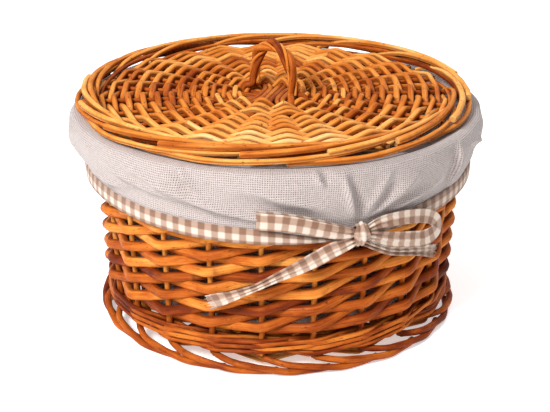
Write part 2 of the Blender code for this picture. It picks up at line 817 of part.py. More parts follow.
def knot_mesh():
    shape = bmesh.new()
    bmesh.ops.create_uvsphere(shape, u_segments=KNOT_SEGMENTS, v_segments=KNOT_RINGS, radius=1.0)
    size = Matrix.Diagonal((KNOT_DEPTH / 2, KNOT_WIDTH / 2, KNOT_RISE / 2, 1.0))
    bmesh.ops.transform(shape, matrix=size, verts=shape.verts)
    middle = RIBBON_RADIUS + (KNOT_DEPTH - RIBBON_THICKNESS) / 2
    place = Matrix.Translation(at(KNOT_ANGLE, middle, KNOT_HEIGHT))
    facing = Matrix.Rotation(KNOT_ANGLE, 4, "Z")
    bmesh.ops.transform(shape, matrix=place @ facing, verts=shape.verts)
    for face in shape.faces:
        face.smooth = True
    mesh = bpy.data.meshes.new("tie_knot")
    shape.to_mesh(mesh)
    shape.free()
    return mesh


def make_tie_bow():
    """The checked ribbon tied at the front: a knot, two loops and two ends, one piece of cloth."""
    paths = [
        loop_points(-1, LEFT_LOOP_LENGTH, LEFT_LOOP_RISE, LEFT_LOOP_SPREAD, LEFT_LOOP_OUT),
        loop_points(1, RIGHT_LOOP_LENGTH, RIGHT_LOOP_RISE, RIGHT_LOOP_SPREAD, RIGHT_LOOP_OUT),
        tail_points(-1, LEFT_TAIL_LENGTH, LEFT_TAIL_DROP),
        tail_points(1, RIGHT_TAIL_LENGTH, RIGHT_TAIL_DROP),
    ]
    meshes = [knot_mesh()] + [ribbon_mesh("tie_ribbon", path) for path in paths]
    add_object("tie_bow", fused("tie_bow", meshes, "MANIFOLD"), CHECK, basket_root)


make_stakes()
make_wall_weavers()
make_wale()
make_base()
make_lid()
make_lid_border()
make_handle()
make_liner_bag()
make_liner_cuff()
make_hem_band()
make_tie_bow()
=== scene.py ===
"""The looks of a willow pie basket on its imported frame: varnished rods, a linen liner, a checked ribbon."""

import collections
import math

import bpy
import numpy as np
from mathutils import Matrix, Vector


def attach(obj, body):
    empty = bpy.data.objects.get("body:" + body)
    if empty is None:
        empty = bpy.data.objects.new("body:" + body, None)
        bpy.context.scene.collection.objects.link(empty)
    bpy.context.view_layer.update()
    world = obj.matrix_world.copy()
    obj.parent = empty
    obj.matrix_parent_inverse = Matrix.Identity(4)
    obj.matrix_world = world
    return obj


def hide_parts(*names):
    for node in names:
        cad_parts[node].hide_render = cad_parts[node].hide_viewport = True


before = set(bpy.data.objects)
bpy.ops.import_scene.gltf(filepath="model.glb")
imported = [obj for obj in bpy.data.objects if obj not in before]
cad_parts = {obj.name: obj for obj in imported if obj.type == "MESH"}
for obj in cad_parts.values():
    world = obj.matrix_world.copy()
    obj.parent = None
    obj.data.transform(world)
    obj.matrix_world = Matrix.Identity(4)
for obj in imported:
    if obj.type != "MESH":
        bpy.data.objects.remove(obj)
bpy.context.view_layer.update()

# Camera and room
PHOTO_WIDTH = 550
CAMERA_PLACE = (-0.0021, -1.0000, 0.4926)
CAMERA_DOWN = math.radians(22.62)
CAMERA_FOCUS_PIXELS = 1346.0
SENSOR_WIDTH = 36.0
FLOOR_SIDE = 9.0
ROOM_LIGHT = 0.48
Lamp = collections.namedtuple("Lamp", "name place size power")
LAMPS = (
    Lamp("front_softbox", (-0.80, -1.25, 1.35), 0.6, 49.0),
    Lamp("back_softbox", (0.80, 1.20, 1.40), 0.7, 12.0),
)
LAMP_TARGET = (0.0, 0.0, 0.10)

# The wall's stakes
STAKE_COUNT = 22
STAKE_STEP = math.tau / STAKE_COUNT
STAKE_RADIUS = 0.0025
FIRST_STAKE = math.radians(-95.0)
WALL_FOOT_RADIUS = 0.1315
WALL_RIM_RADIUS = 0.1400
WALL_FLARE_POWER = 1.5
WALL_FOOT_HEIGHT = 0.0110
BORDER_HEIGHT = 0.1582
BORDER_DROP = 0.0056
CLEAR = 0.0003
STAKE_TAPER = (1.06, 1.04, 0.96, 0.82, 0.80, 0.80, 0.86)
# Tones along a stake, with painted shade: darker at the foot and the bottom of the wall
STAKE_TONES_WITH_PAINTED_SHADE = (0.27, 0.25, 0.32, 0.60, 0.64, 0.66, 0.54)
STAKE_BEND = 0.006

# The foot's sweep: how many stakes along, how far out, how high
FOOT_KEYS = (
    (2.30, 0.1368, 0.0029),
    (2.00, 0.1384, 0.0029),
    (1.50, 0.1408, 0.0034),
    (1.00, 0.1405, 0.0060),
    (0.50, 0.1392, 0.0082),
    (0.16, 0.1345, 0.0096),
)

# The wall's weaving
WEAVER_RADIUS = 0.0033
WEAVER_HEIGHT = 0.0378
WEAVER_CLIMB = 0.0068
WEAVER_STROKES = 16
WEAVER_TAPER = (1.05, 1.03, 1.00, 0.96, 0.92)
WEAVER_FLAT = (0.94, 1.18)
WEAVER_LIFT = 0.0009
WEAVE_EASE = 0.70
WEAVER_BEND = (0.0044, 0.9)
WEAVER_TONES = (0.66, 0.50, 0.58, 0.70, 0.42, 0.60, 0.54, 0.68, 0.46, 0.58, 0.64)
# Painted shade: each weaver darker where it runs low on the wall, paler high up
PAINTED_SHADE_LOW_TO_HIGH = np.linspace(-0.26, 0.10, 9)
WALE_RADIUS = 0.0019
WALE_HEIGHT = 0.0150
WALE_PITCH = 0.0042
WALE_CLIMB = (0.0012, 0.0, 0.0024)
WALE_EASE = 0.85
WALE_PROUD = 0.0004
WALE_BEND = 0.009
WALE_FLAT = (0.95, 1.05)

# The base and the lid, each a star of crossed sticks with two rods chasing round it
Plait = collections.namedtuple(
    "Plait", "ends stick end inner turns paired single mouth outer inner_gap outer_gap tip_gap fill"
)
BASE_PLAIT = Plait(
    ends=(6, 5, 6, 5), stick=0.0022, end=0.1284, inner=0.0350, turns=1, paired=0.0527, single=0.0620,
    mouth=0.1160, outer=0.1265, inner_gap=0.0055, outer_gap=0.0078, tip_gap=0.0072, fill=0.80,
)
LID_PLAIT = Plait(
    ends=(6, 6, 6, 6), stick=0.0021, end=0.1385, inner=0.0215, turns=3, paired=0.0484, single=0.0530,
    mouth=0.1180, outer=0.1366, inner_gap=0.0044, outer_gap=0.0056, tip_gap=0.0046, fill=0.90,
)
BASE_SEAT = (0.0, 0.0, 0.0118)
BASE_TURN = FIRST_STAKE + STAKE_STEP / 2
BASE_TONES = (0.55, 0.10)
LID_SEAT = (-0.0030, 0.0, 0.16805)
LID_TURN = math.radians(-17.2)
LID_TONES = (0.68, 0.08)
STICK_GAP = 0.0001
FUSE_DEPTH = 0.0012
STAR_CLEAR = -0.0010
ROW_REACH = 0.0056
ROW_FLAT = (1.04, 1.10)
GAP_GROWTH = 0.16
LAST_STROKES = 8
STICK_BEND = 0.006
ROW_BEND = (0.0028, 0.95)
LYING = (1.0, 1.0)
FIRST_LENGTH = 12
NEXT_LENGTHS = (15, 27)
SHORTEST_LENGTH = 6

# The lid's border: how many rods along, how far out, how high over the lid's middle
# Each kind's tone is painted light and shade: the rods on top paler, the rods round the edge less so, the
# rods under them darker
BorderRods = collections.namedtuple("BorderRods", "count thin thick tone keys")
OVER_RODS = BorderRods(16, 0.0017, 0.0026, 0.72, (
    (0.00, 0.1345, 0.0018),
    (0.04, 0.1370, 0.0030),
    (0.35, 0.1386, 0.0074),
    (0.70, 0.1396, 0.0099),
    (1.25, 0.1422, 0.0104),
    (1.85, 0.1455, 0.0094),
    (2.40, 0.1482, 0.0078),
    (2.65, 0.1491, 0.0070),
))
EDGE_RODS = BorderRods(9, 0.0017, 0.0022, 0.58, (
    (0.00, 0.1432, 0.0058),
    (0.35, 0.1482, 0.0046),
    (0.75, 0.1516, 0.0031),
    (1.20, 0.1520, 0.0012),
    (1.70, 0.1486, 0.0010),
))
UNDER_RODS = BorderRods(9, 0.0016, 0.0021, 0.40, (
    (0.00, 0.1350, 0.0002),
    (0.40, 0.1362, 0.0034),
    (0.90, 0.1384, 0.0060),
    (1.40, 0.1420, 0.0060),
    (1.85, 0.1455, 0.0042),
))
BORDER_BEND = 0.020

# The handle
HANDLE_RADIUS = 0.0026
HANDLE_SPAN = 0.0440
HANDLE_RISE = 0.0465
HANDLE_TURNS = 1.5
HANDLE_OFFSET = 0.0027
HANDLE_HOLE = 0.0284
HANDLE_TAIL = 0.0046
HANDLE_NECK = 0.0072
HANDLE_NECK_SHARE = 0.55
HANDLE_ARCH_POWER = 0.75
HANDLE_POINTS = 41
HANDLE_BEND = 0.004
HANDLE_STEP = 0.0014
HANDLE_TONES = ((0.34, 0.22, 0.28, 0.36), (0.38, 0.42, 0.50, 0.58))
THIN_STRAND_BEHIND = 0.45
THIN_STRAND_SHARES = (0.40, 0.55)
THIN_STRAND_TONE = 0.62

# The liner
CLOTH_THICKNESS = 0.0006
SEAM_HEIGHT = 0.1560
RIM_TOP = 0.16157
BAG_FLOOR = 0.0224
BAG_INSET = 0.0104
BAG_COLUMNS = 20 * STAKE_COUNT
BAG_PRESSED = 0.0042
BAG_ROUND = 0.0060
BAG_ROUND_HEIGHT = 0.0080
BAG_TAPER = 0.0016
BAG_SLACK = 0.0008
BAG_FLOOR_INSET = 0.0045
BAG_GIRTH = math.tau * 0.125
HEM_HEIGHT = 0.1095
HEM_SIDE_RISE = 0.0060
HEM_RADIUS = 0.1500
HEM_WIDTH = 0.0125
HEM_GIRTH = math.tau * HEM_RADIUS
PUFF = 0.0070
LEFT_PUFF = 0.0068
RIGHT_PUFF = 0.0030
CROWN_SHARE = 0.60
CROWN_RISE = 0.0036
SEAM_ROLL = 0.0012
CUFF_COLUMNS = 720
CUFF_ROWS = 26
CUFF_LEAST = 0.1494
CUFF_WAVES = (5, 7, 11, 16, 23)
CUFF_WAVE_DEPTH = 0.0016 / 2.6
CUFF_RIPPLE = 0.00028
CUFF_FALL_SHARES = (0.0, 0.05, 0.26, 0.52, 0.78, 1.0)
CUFF_REACH_SHARES = (0.60, 0.90, 1.0, 0.76, 0.34, 0.0)
BAND_RADIUS = 0.1512
BAND_PINCH = 0.84
BAND_PINCH_REACH = math.radians(15.0)
BAND_PINCH_ASIDE = math.radians(4.0)

# The tied ribbon
KNOT_ANGLE = math.radians(-68.3)
KNOT_X = math.radians(21.7) * HEM_RADIUS
KNOT_HEIGHT = 0.1150
KNOT_OUT = 0.0040
KNOT_HALF_DEPTH = 0.0046
KNOT_HALF_RISE = 0.0082
KNOT_HALF_WIDTH = 0.0048
RIBBON_COLUMNS = 25
ROWS_PER_KEY = 12
FRINGE_ROWS = 7


def at(angle, radius, height):
    """The point, or the points, at an angle round the upright axis."""
    return np.stack(np.broadcast_arrays(radius * np.cos(angle), radius * np.sin(angle), height), -1)


def mix(start, end, share):
    return start + (end - start) * share


def wrapped(angle):
    """The angle as it lies between half a turn back and half a turn on."""
    return np.angle(np.exp(1j * angle))


def run_along(line):
    """How far along the line each of its points is."""
    return np.concatenate([[0.0], np.cumsum(np.linalg.norm(np.diff(line, axis=0), axis=1))])


def shown(name, data):
    """A new object in the scene."""
    item = bpy.data.objects.new(name, data)
    bpy.context.scene.collection.objects.link(item)
    return item


def spread(values, share):
    """The values laid evenly from 0 to 1 and read at a share of the way."""
    values = np.atleast_1d(values)
    return np.interp(share, np.linspace(0.0, 1.0, len(values)), values)


# Materials


def worked_as(operation, other_first=False):
    """An operator between a shade and another shade or a number."""

    def operator(shade, other):
        return shade.worked(operation, *((other, shade) if other_first else (shade, other)))

    return operator


class Shade:
    """A value, colour or direction on its way through a finish. Arithmetic on it adds the nodes."""

    __add__ = worked_as("ADD")
    __radd__ = worked_as("ADD", True)
    __sub__ = worked_as("SUBTRACT")
    __rsub__ = worked_as("SUBTRACT", True)
    __mul__ = worked_as("MULTIPLY")
    __rmul__ = worked_as("MULTIPLY", True)
    __truediv__ = worked_as("DIVIDE")
    __rtruediv__ = worked_as("DIVIDE", True)
    most = worked_as("MAXIMUM")

    def __init__(self, finish, socket):
        self.finish = finish
        self.socket = socket

    def worked(self, operation, *operands):
        if self.socket.type != "VECTOR":
            return self.finish.node("ShaderNodeMath", {"operation": operation}, dict(enumerate(operands)))
        operands = [(each,) * 3 if isinstance(each, float) else each for each in operands]
        return self.finish.node("ShaderNodeVectorMath", {"operation": operation}, dict(enumerate(operands)))

    def __abs__(self):
        return self.worked("ABSOLUTE", self)

    def sine(self):
        return self.worked("SINE", self)

    def cosine(self):
        return self.worked("COSINE", self)

    def part(self, axis):
        return self.finish.node("ShaderNodeSeparateXYZ", {}, {0: self}, axis)

    def eased(self, low, high):
        """0 below low, 1 above high, and a smooth rise between them."""
        settings = {"interpolation_type": "SMOOTHSTEP"}
        return self.finish.node("ShaderNodeMapRange", settings, {0: self, 1: low, 2: high, 3: 0.0, 4: 1.0})


class Finish:
    """A material in the making: the nodes, and the surface shader that they feed."""

    def __init__(self, name, **constants):
        self.material = bpy.data.materials.new(name)
        self.material.use_nodes = True
        self.tree = self.material.node_tree
        self.surface = self.tree.nodes["Principled BSDF"]
        for socket, value in constants.items():
            self.surface.inputs[socket.replace("_", " ")].default_value = value

    def node(self, kind, settings, sockets, out=0):
        made = self.tree.nodes.new(kind)
        for name, value in settings.items():
            if name == "stops":
                self.set_stops(made.color_ramp, value)
            else:
                setattr(made, name, value)
        for socket, value in sockets.items():
            self.feed(made.inputs[socket], value)
        return Shade(self, made.outputs[out])

    def set_stops(self, ramp, stops):
        while len(ramp.elements) < len(stops):
            ramp.elements.new(1.0)
        for element, (place, colour) in zip(ramp.elements, stops):
            element.position = place
            element.color = (*colour, 1.0)

    def feed(self, socket, value):
        if isinstance(value, Shade):
            self.tree.links.new(value.socket, socket)
        else:
            socket.default_value = value

    def number(self, name):
        return self.node("ShaderNodeAttribute", {"attribute_name": name}, {}, 2)

    def place(self, name):
        return self.node("ShaderNodeAttribute", {"attribute_name": name}, {}, 1)

    def noise(self, place, detail=2.0, roughness=0.5):
        sockets = {"Vector": place, "Scale": 1.0, "Detail": detail, "Roughness": roughness}
        return self.node("ShaderNodeTexNoise", {}, sockets)

    def ramp(self, share, stops):
        return self.node("ShaderNodeValToRGB", {"stops": stops}, {0: share})

    def mixed(self, share, first, second):
        return self.node("ShaderNodeMix", {"data_type": "RGBA"}, {0: share, 6: first, 7: second}, 2)

    def bump(self, height, depth):
        sockets = {"Strength": 1.0, "Distance": depth, "Height": height}
        self.feed(self.surface.inputs["Normal"], self.node("ShaderNodeBump", {}, sockets))

    def wear(self, socket, value):
        self.feed(self.surface.inputs[socket], value)


WILLOW_TONES = (
    (0.00, (0.040, 0.009, 0.005)),
    (0.20, (0.170, 0.025, 0.005)),
    (0.40, (0.380, 0.084, 0.011)),
    (0.60, (0.605, 0.196, 0.030)),
    (0.80, (0.785, 0.358, 0.088)),
    (1.00, (0.890, 0.550, 0.235)),
)
CUT_WOOD = (0.50, 0.25, 0.08, 1.0)
# Painted shade: the brown that darkens each rod's sides where its neighbours touch it, and how strongly
PAINTED_SHADE_BROWN = (0.120, 0.016, 0.003, 1.0)
PAINTED_SHADE_STRENGTH = 0.80
BARK_SPECK = (0.035, 0.014, 0.008, 1.0)
STREAK_SCALE = (1500.0, 1500.0, 38.0)
BLOTCH_SCALE = (95.0, 95.0, 34.0)
SPECK_SCALE = (800.0, 800.0, 260.0)
BARK_DEPTH = 0.00040


def willow(name, gloss):
    """Steamed willow under a thin varnish: streaks along the rod, blotches, bark specks and pale cut ends,
    and painted shade that darkens the rod's sides where its neighbours touch it.
    """
    warm = {"Coat_Tint": (1.0, 0.80, 0.55, 1.0), "Specular_Tint": (1.0, 0.72, 0.42, 1.0)}
    finish = Finish(name, Coat_Roughness=0.22, Coat_IOR=1.48, Specular_IOR_Level=0.06, **warm)
    grain = finish.place("rod_grain")
    streak = finish.noise(grain * STREAK_SCALE, 5.0, 0.62)
    blotch = finish.noise(grain * BLOTCH_SCALE, 3.0, 0.55)
    speck = finish.noise(grain * SPECK_SCALE, 3.0, 0.65)
    cut = finish.number("rod_cut")
    tone = finish.number("rod_tone") + (streak - 0.5) * 0.50 + (blotch - 0.5) * 0.75
    colour = finish.ramp(tone, WILLOW_TONES)
    dark = speck.eased(0.60, 0.70) * 0.70
    colour = finish.mixed(dark.most(finish.number("rod_knot") * 0.8), colour, BARK_SPECK)
    # Painted shade: darker brown along the sides where neighbouring rods touch, varied a little with the
    # blotches
    crease = finish.number("rod_crease").eased(0.74, 1.04) + (blotch - 0.5) * 0.4
    colour = finish.mixed(crease.most(0.0) * PAINTED_SHADE_STRENGTH, colour, PAINTED_SHADE_BROWN)
    finish.wear("Base Color", finish.mixed(cut, colour, CUT_WOOD))
    finish.wear("Roughness", 0.44 + streak * 0.16 + cut * 0.3)
    finish.wear("Coat Weight", gloss - cut * gloss)
    finish.bump(streak * 0.3 + blotch * 0.6 - speck.eased(0.62, 0.76) * 0.5, BARK_DEPTH)
    return finish.material


def thread_height(warp, weft):
    """Plain weave: threads that pass over and under each other, from their count along and across."""
    across = (warp * math.pi).cosine()
    along = (weft * math.pi).cosine()
    over = (warp * math.pi).sine() * (weft * math.pi).sine() * 0.5 + 0.5
    return abs(across), abs(along), over


LINEN_THREAD = 0.00150
LINEN_PALE = (0.490, 0.420, 0.400)
LINEN_DEEP = (0.300, 0.245, 0.226)
LINEN_GAP = (0.060, 0.044, 0.038, 1.0)
LINEN_DEPTH = 0.00035
SLUB_SCALE = (260.0, 2300.0, 1.0)
NUB_SCALE = (2300.0, 260.0, 1.0)


def linen(name):
    """Coarse unbleached plain weave with slubs, and shade in the gaps between its threads."""
    finish = Finish(name, Roughness=0.88, Sheen_Weight=0.25, Sheen_Roughness=0.5, Specular_IOR_Level=0.2)
    cloth = finish.place("cloth_place")
    drift = finish.noise(cloth * 60.0, 2.0, 0.5)
    warp = cloth.part(0) / LINEN_THREAD + drift * 1.6
    weft = cloth.part(1) / LINEN_THREAD + drift * 1.3
    across, along, over = thread_height(warp, weft)
    slub = finish.noise(cloth * SLUB_SCALE, 3.0, 0.6)
    nub = finish.noise(cloth * NUB_SCALE, 3.0, 0.6)
    height = across * over + along * (1.0 - over)
    pits = (1.0 - across) * (1.0 - along)
    fleck = finish.noise(cloth * 900.0, 1.0, 0.5)
    shade = (slub + nub) * 0.5 + fleck * 0.25
    colour = finish.ramp(shade, ((0.42, LINEN_DEEP), (0.72, LINEN_PALE)))
    finish.wear("Base Color", finish.mixed(pits.eased(0.10, 0.42) * (0.15 + fleck * 1.3), colour, LINEN_GAP))
    finish.bump(height + (slub + nub) * 0.5, LINEN_DEPTH)
    return finish.material


CHECK_SIDE = 0.0050
CHECK_THREAD = 0.00050
CHECK_PALE = (0.67, 0.55, 0.46)
CHECK_MID = (0.40, 0.255, 0.180)
CHECK_DARK = (0.225, 0.115, 0.072)
CHECK_DRIFT = 0.0007
CHECK_DEPTH = 0.00022


def gingham(name):
    """Woven checks: bands of tan and cream threads cross, and are darkest where tan crosses tan."""
    finish = Finish(name, Roughness=0.86, Sheen_Weight=0.2, Sheen_Roughness=0.5, Specular_IOR_Level=0.2)
    cloth = finish.place("cloth_place")
    drift = finish.noise(cloth * 180.0, 2.0, 0.5) - 0.5
    along = cloth.part(0) + drift * CHECK_DRIFT
    across = cloth.part(1) + drift * CHECK_DRIFT
    tan_warp = (along * (math.pi / CHECK_SIDE)).sine().eased(-0.45, 0.45)
    tan_weft = (across * (math.pi / CHECK_SIDE)).sine().eased(-0.45, 0.45)
    rib, cross, over = thread_height(along / CHECK_THREAD, across / CHECK_THREAD)
    fuzz = finish.noise(cloth * 2600.0, 2.0, 0.6)
    both = tan_warp + tan_weft
    tan = both * 0.5 + (over - 0.5) * 0.34 * (1.0 - abs(both - 1.0)) + (fuzz - 0.5) * 0.36
    finish.wear("Base Color", finish.ramp(tan, ((0.02, CHECK_PALE), (0.5, CHECK_MID), (0.98, CHECK_DARK))))
    finish.bump(rib * over + cross * (1.0 - over) + fuzz * 0.4, CHECK_DEPTH)
    return finish.material


HONEY = willow("honey_willow", 0.03)
BROWN = willow("brown_willow", 0.04)
STRAW = willow("straw_willow", 0.03)
LINEN = linen("natural_linen")
CHECK = gingham("tan_check_cotton")


# Rods


ROD_SIDES = 10
ROD_STEP = 0.0026
BEND_SAMPLES = 6
END_ROUND = 0.0005
END_SHARE = 0.8
WAVER_LENGTHS = (1.0, 0.53, 0.31)
WAVER_LENGTH = 0.035
KNOT_LENGTH = 0.0016
KNOT_SWELL = 0.10
OVAL = 0.05
GRAIN_SHIFT = 40.0


def bent(points, reach, keep=0.75):
    """The rod's line: straight from point to point, and bent round each point over `reach` on both sides."""
    points = np.array(points, float)
    legs = np.diff(points, axis=0)
    lengths = np.linalg.norm(legs, axis=1)[:, None]
    ahead = legs / lengths
    reaches = np.minimum(reach, 0.45 * np.minimum(lengths[:-1], lengths[1:]))
    corners = points[1:-1] - keep * reaches * (ahead[1:] - ahead[:-1]) / 4
    share = np.linspace(0.0, 1.0, BEND_SAMPLES)[None, :, None]
    before = (corners - reaches * ahead[:-1])[:, None]
    after = (corners + reaches * ahead[1:])[:, None]
    bends = before * (1 - share) ** 2 + 2 * corners[:, None] * share * (1 - share) + after * share**2
    return np.concatenate([points[:1], bends.reshape(-1, 3), points[-1:]])


def spaced(line, gap):
    """The line again with even steps of about `gap`, and how far along it each step is."""
    run = run_along(line)
    steps = max(3, round(run[-1] / gap))
    along = np.linspace(0.0, run[-1], steps + 1)
    return np.stack([np.interp(along, run, line[:, axis]) for axis in range(3)], 1), along


def wander(along, chance, wave):
    """A smooth wavering between about -1 and 1 along a rod."""
    total = np.zeros_like(along)
    for part in WAVER_LENGTHS:
        total += part * np.sin(math.tau * along / (wave * part) + chance.uniform(0, math.tau))
    return total / sum(WAVER_LENGTHS)


def knots_along(along, gap, chance):
    """How much of a knot each step along a rod has, from 0 to 1."""
    knot = np.zeros_like(along)
    knot_at = chance.uniform(0.02, gap)
    while knot_at < along[-1] - 0.01:
        here = np.exp(-(((along - knot_at) / KNOT_LENGTH) ** 2))
        knot = np.maximum(knot, here * chance.uniform(0.4, 1.0))
        knot_at += chance.uniform(0.4, 1.6) * gap
    return knot


def capped(values, first, last):
    """The values along a rod with one more for each rounded end."""
    return np.concatenate([[first], values, [last]])


def across_rod(line, lying):
    """The rod's way ahead at each step and two ways across it: level and upright if it lies, or else turning
    with the rod."""
    ahead = np.gradient(line, axis=0)
    ahead /= np.linalg.norm(ahead, axis=1)[:, None]
    if lying:
        sides = np.cross(ahead, (0.0, 0.0, 1.0))
        sides /= np.linalg.norm(sides, axis=1)[:, None]
        return ahead, sides, np.cross(ahead, sides)
    start = np.cross(ahead[0], (0.0, 0.0, 1.0))
    if np.linalg.norm(start) < 0.1:
        start = np.cross(ahead[0], (0.0, 1.0, 0.0))
    side = start
    sides = []
    for direction in ahead:
        side = side - direction * side.dot(direction)
        side = side / np.linalg.norm(side)
        sides.append(side)
    sides = np.array(sides)
    return ahead, sides, np.cross(ahead, sides)


class Bundle:
    """Rods that make one piece: their surfaces, and what the willow finish needs to know of each point."""

    def __init__(self, name):
        self.name = name
        self.points = []
        self.faces = []
        self.smooth = []
        self.marks = collections.defaultdict(list)
        self.count = 0

    def rod(
        self, line, radii, tone, chance, knot_gap=0.11, rough=0.05,
        sides=ROD_SIDES, step=ROD_STEP, flat=None, contact_shade_side=None,
    ):
        """Adds a rod along the line. `radii` and `tone`, dark at 0 and pale at 1, are spread along it. A rod
        with `flat` lies, that much wider and higher. The last argument tells where its neighbours touch it,
        beside or above, and there its sides get painted shade."""
        line, along = spaced(np.asarray(line, float), step)
        radius = spread(radii, along / along[-1])
        radius = radius * (1 + rough * wander(along, chance, WAVER_LENGTH))
        knot = capped(knots_along(along, knot_gap, chance), 0.0, 0.0)
        ahead, side, up = across_rod(line, flat is not None)
        line = capped(line, line[0] - ahead[0] * END_ROUND, line[-1] + ahead[-1] * END_ROUND)
        side = capped(side, side[0], side[-1])
        up = capped(up, up[0], up[-1])
        radius = capped(radius, radius[0] * END_SHARE, radius[-1] * END_SHARE)
        along = capped(along, along[0] - END_ROUND, along[-1] + END_ROUND)
        turn = np.linspace(0.0, math.tau, sides, endpoint=False)
        facing = np.clip(np.cos(turn - chance.uniform(0, math.tau)), 0.0, 1.0) ** 2
        oval = 1 + OVAL * np.cos(2 * (turn - chance.uniform(0, math.pi)))
        reach = radius[:, None] * oval * (1 + KNOT_SWELL * np.outer(knot, facing))
        wide, high = flat or LYING
        ring = side[:, None] * np.cos(turn)[:, None] * wide + up[:, None] * np.sin(turn)[:, None] * high
        points = line[:, None] + ring * reach[:, :, None]
        self.add_faces(len(line), sides)
        self.points.append(points.reshape(-1, 3))
        middle = radius.mean()
        grain = np.stack(np.broadcast_arrays(middle * np.cos(turn), middle * np.sin(turn), along[:, None]), 2)
        cut = np.zeros(len(line))
        cut[[0, -1]] = 1.0
        # Painted shade: how squarely each side of the ring faces the neighbours that touch it
        touch = {"beside": np.abs(np.cos(turn)), "above": np.abs(np.sin(turn)), None: np.zeros(sides)}[contact_shade_side]
        marks = {
            "rod_tone": np.repeat(spread(tone, along / along[-2]), sides),
            "rod_knot": np.outer(knot, facing).reshape(-1),
            "rod_cut": np.repeat(cut, sides),
            "rod_crease": np.tile(touch, len(line)),
            "rod_grain": (grain + chance.uniform(0.0, GRAIN_SHIFT, 3)).reshape(-1, 3),
        }
        for name, values in marks.items():
            self.marks[name].append(values)

    def add_faces(self, rings, sides):
        index = self.count + np.arange(rings * sides).reshape(rings, sides)
        quads = np.stack([index[:-1], np.roll(index[:-1], -1, 1), np.roll(index[1:], -1, 1), index[1:]], 2)
        self.faces += quads.reshape(-1, 4).tolist() + [index[0][::-1].tolist(), index[-1].tolist()]
        self.smooth += [True] * (quads.size // 4) + [False, False]
        self.count += rings * sides

    def piece(self, finish, body, slot, nodes):
        """The bundle as one object that stands for the CAD nodes."""
        mesh = bpy.data.meshes.new(self.name)
        mesh.from_pydata(np.concatenate(self.points).tolist(), [], self.faces)
        mesh.polygons.foreach_set("use_smooth", self.smooth)
        for name, parts in self.marks.items():
            values = np.concatenate(parts).astype(np.float32)
            kind, key = ("FLOAT", "value") if values.ndim == 1 else ("FLOAT_VECTOR", "vector")
            mesh.attributes.new(name, kind, "POINT").data.foreach_set(key, values.reshape(-1))
        return placed(self.name, mesh, finish, body, slot, nodes)


def placed(name, mesh, finish, body, slot, nodes):
    mesh.materials.append(finish)
    piece = shown(name, mesh)
    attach(piece, body)
    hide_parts(*nodes)
    return piece


def weave_offsets(span, half_turn, clear, half_width=0.0):
    """How far a rod's bends lie outside and inside the stakes' centres, to pass each by `clear`."""
    outer = inner = clear
    for _ in range(12):
        slope = math.atan2(outer + inner, span)
        outer = clear / math.cos(slope + half_turn) + half_width * math.tan(slope)
        inner = clear / math.cos(slope - half_turn) + half_width * math.tan(slope)
    return outer, inner


def turned(points, angle, seat=(0.0, 0.0, 0.0)):
    """The points turned about the upright axis and moved to their seat."""
    spin = np.array(Matrix.Rotation(angle, 3, "Z"))
    return np.asarray(points, float) @ spin.T + np.array(seat)


# The wall


def wall_radius(height):
    share = max(0.0, height - WALL_FOOT_HEIGHT) / (BORDER_HEIGHT - WALL_FOOT_HEIGHT)
    return mix(WALL_FOOT_RADIUS, WALL_RIM_RADIUS, share**WALL_FLARE_POWER)


def wall_offsets(height, rod_radius):
    span = 2 * wall_radius(height) * math.sin(STAKE_STEP / 2)
    return weave_offsets(span, STAKE_STEP / 2, STAKE_RADIUS + rod_radius + CLEAR)


def stake_points():
    foot = [at(sweep * STAKE_STEP, out, up) for sweep, out, up in FOOT_KEYS]
    heights = np.linspace(WALL_FOOT_HEIGHT, BORDER_HEIGHT, 6)
    wall = [at(0.0, wall_radius(height), height) for height in heights]
    outer, inner = wall_offsets(BORDER_HEIGHT, STAKE_RADIUS)
    rim = [
        at(STAKE_STEP, WALL_RIM_RADIUS + outer, BORDER_HEIGHT - BORDER_DROP),
        at(2 * STAKE_STEP, WALL_RIM_RADIUS - inner, BORDER_HEIGHT - 2 * BORDER_DROP),
    ]
    return foot + wall + rim


def make_stakes():
    line = bent(stake_points(), STAKE_BEND)
    for number in range(STAKE_COUNT):
        chance = np.random.default_rng(100 + number)
        bundle = Bundle(f"peg_{number + 1:02d}")
        # Painted shade: the stake darker at its foot and low on the wall
        tone = chance.uniform(-0.08, 0.10) + np.array(STAKE_TONES_WITH_PAINTED_SHADE)
        radii = STAKE_RADIUS * np.array(STAKE_TAPER)
        bundle.rod(turned(line, FIRST_STAKE + number * STAKE_STEP), radii, tone, chance)
        bundle.piece(HONEY, "basket", "honey_willow", [f"stake_{number + 1:02d}"])


def weaver_points(chance):
    points = []
    for stroke in range(WEAVER_STROKES + 1):
        height = WEAVER_HEIGHT + (stroke - 1) * WEAVER_CLIMB
        taper = spread(WEAVER_TAPER, stroke / WEAVER_STROKES)
        outer, inner = wall_offsets(height, WEAVER_RADIUS * taper * WEAVER_FLAT[0])
        offset = WEAVE_EASE * (outer if stroke % 2 else -inner) + chance.uniform(-0.0003, 0.0005)
        lift = chance.uniform(-0.0007, 0.0007) + (-WEAVER_LIFT / 2 if stroke % 2 else WEAVER_LIFT)
        points.append(at(stroke * STAKE_STEP, wall_radius(height) + offset, height + lift))
    return points


def make_weavers():
    for number in range(STAKE_COUNT):
        chance = np.random.default_rng(300 + number)
        bundle = Bundle(f"weaver_{number + 1:02d}")
        line = turned(bent(weaver_points(chance), *WEAVER_BEND), FIRST_STAKE + number * STAKE_STEP)
        # Painted shade: the weaver's tone darkens where it runs low on the wall
        tone = WEAVER_TONES[number % len(WEAVER_TONES)] + PAINTED_SHADE_LOW_TO_HIGH
        tone = tone + chance.normal(0.0, 0.05, len(tone))
        radii = WEAVER_RADIUS * chance.uniform(0.97, 1.03) * np.array(WEAVER_TAPER)
        bundle.rod(line, radii, tone, chance, 0.09, flat=WEAVER_FLAT, contact_shade_side="above")
        finish, slot = (BROWN, "brown_willow") if number % 3 else (HONEY, "honey_willow")
        bundle.piece(finish, "basket", slot, [f"wall_weaver_{number + 1:02d}"])


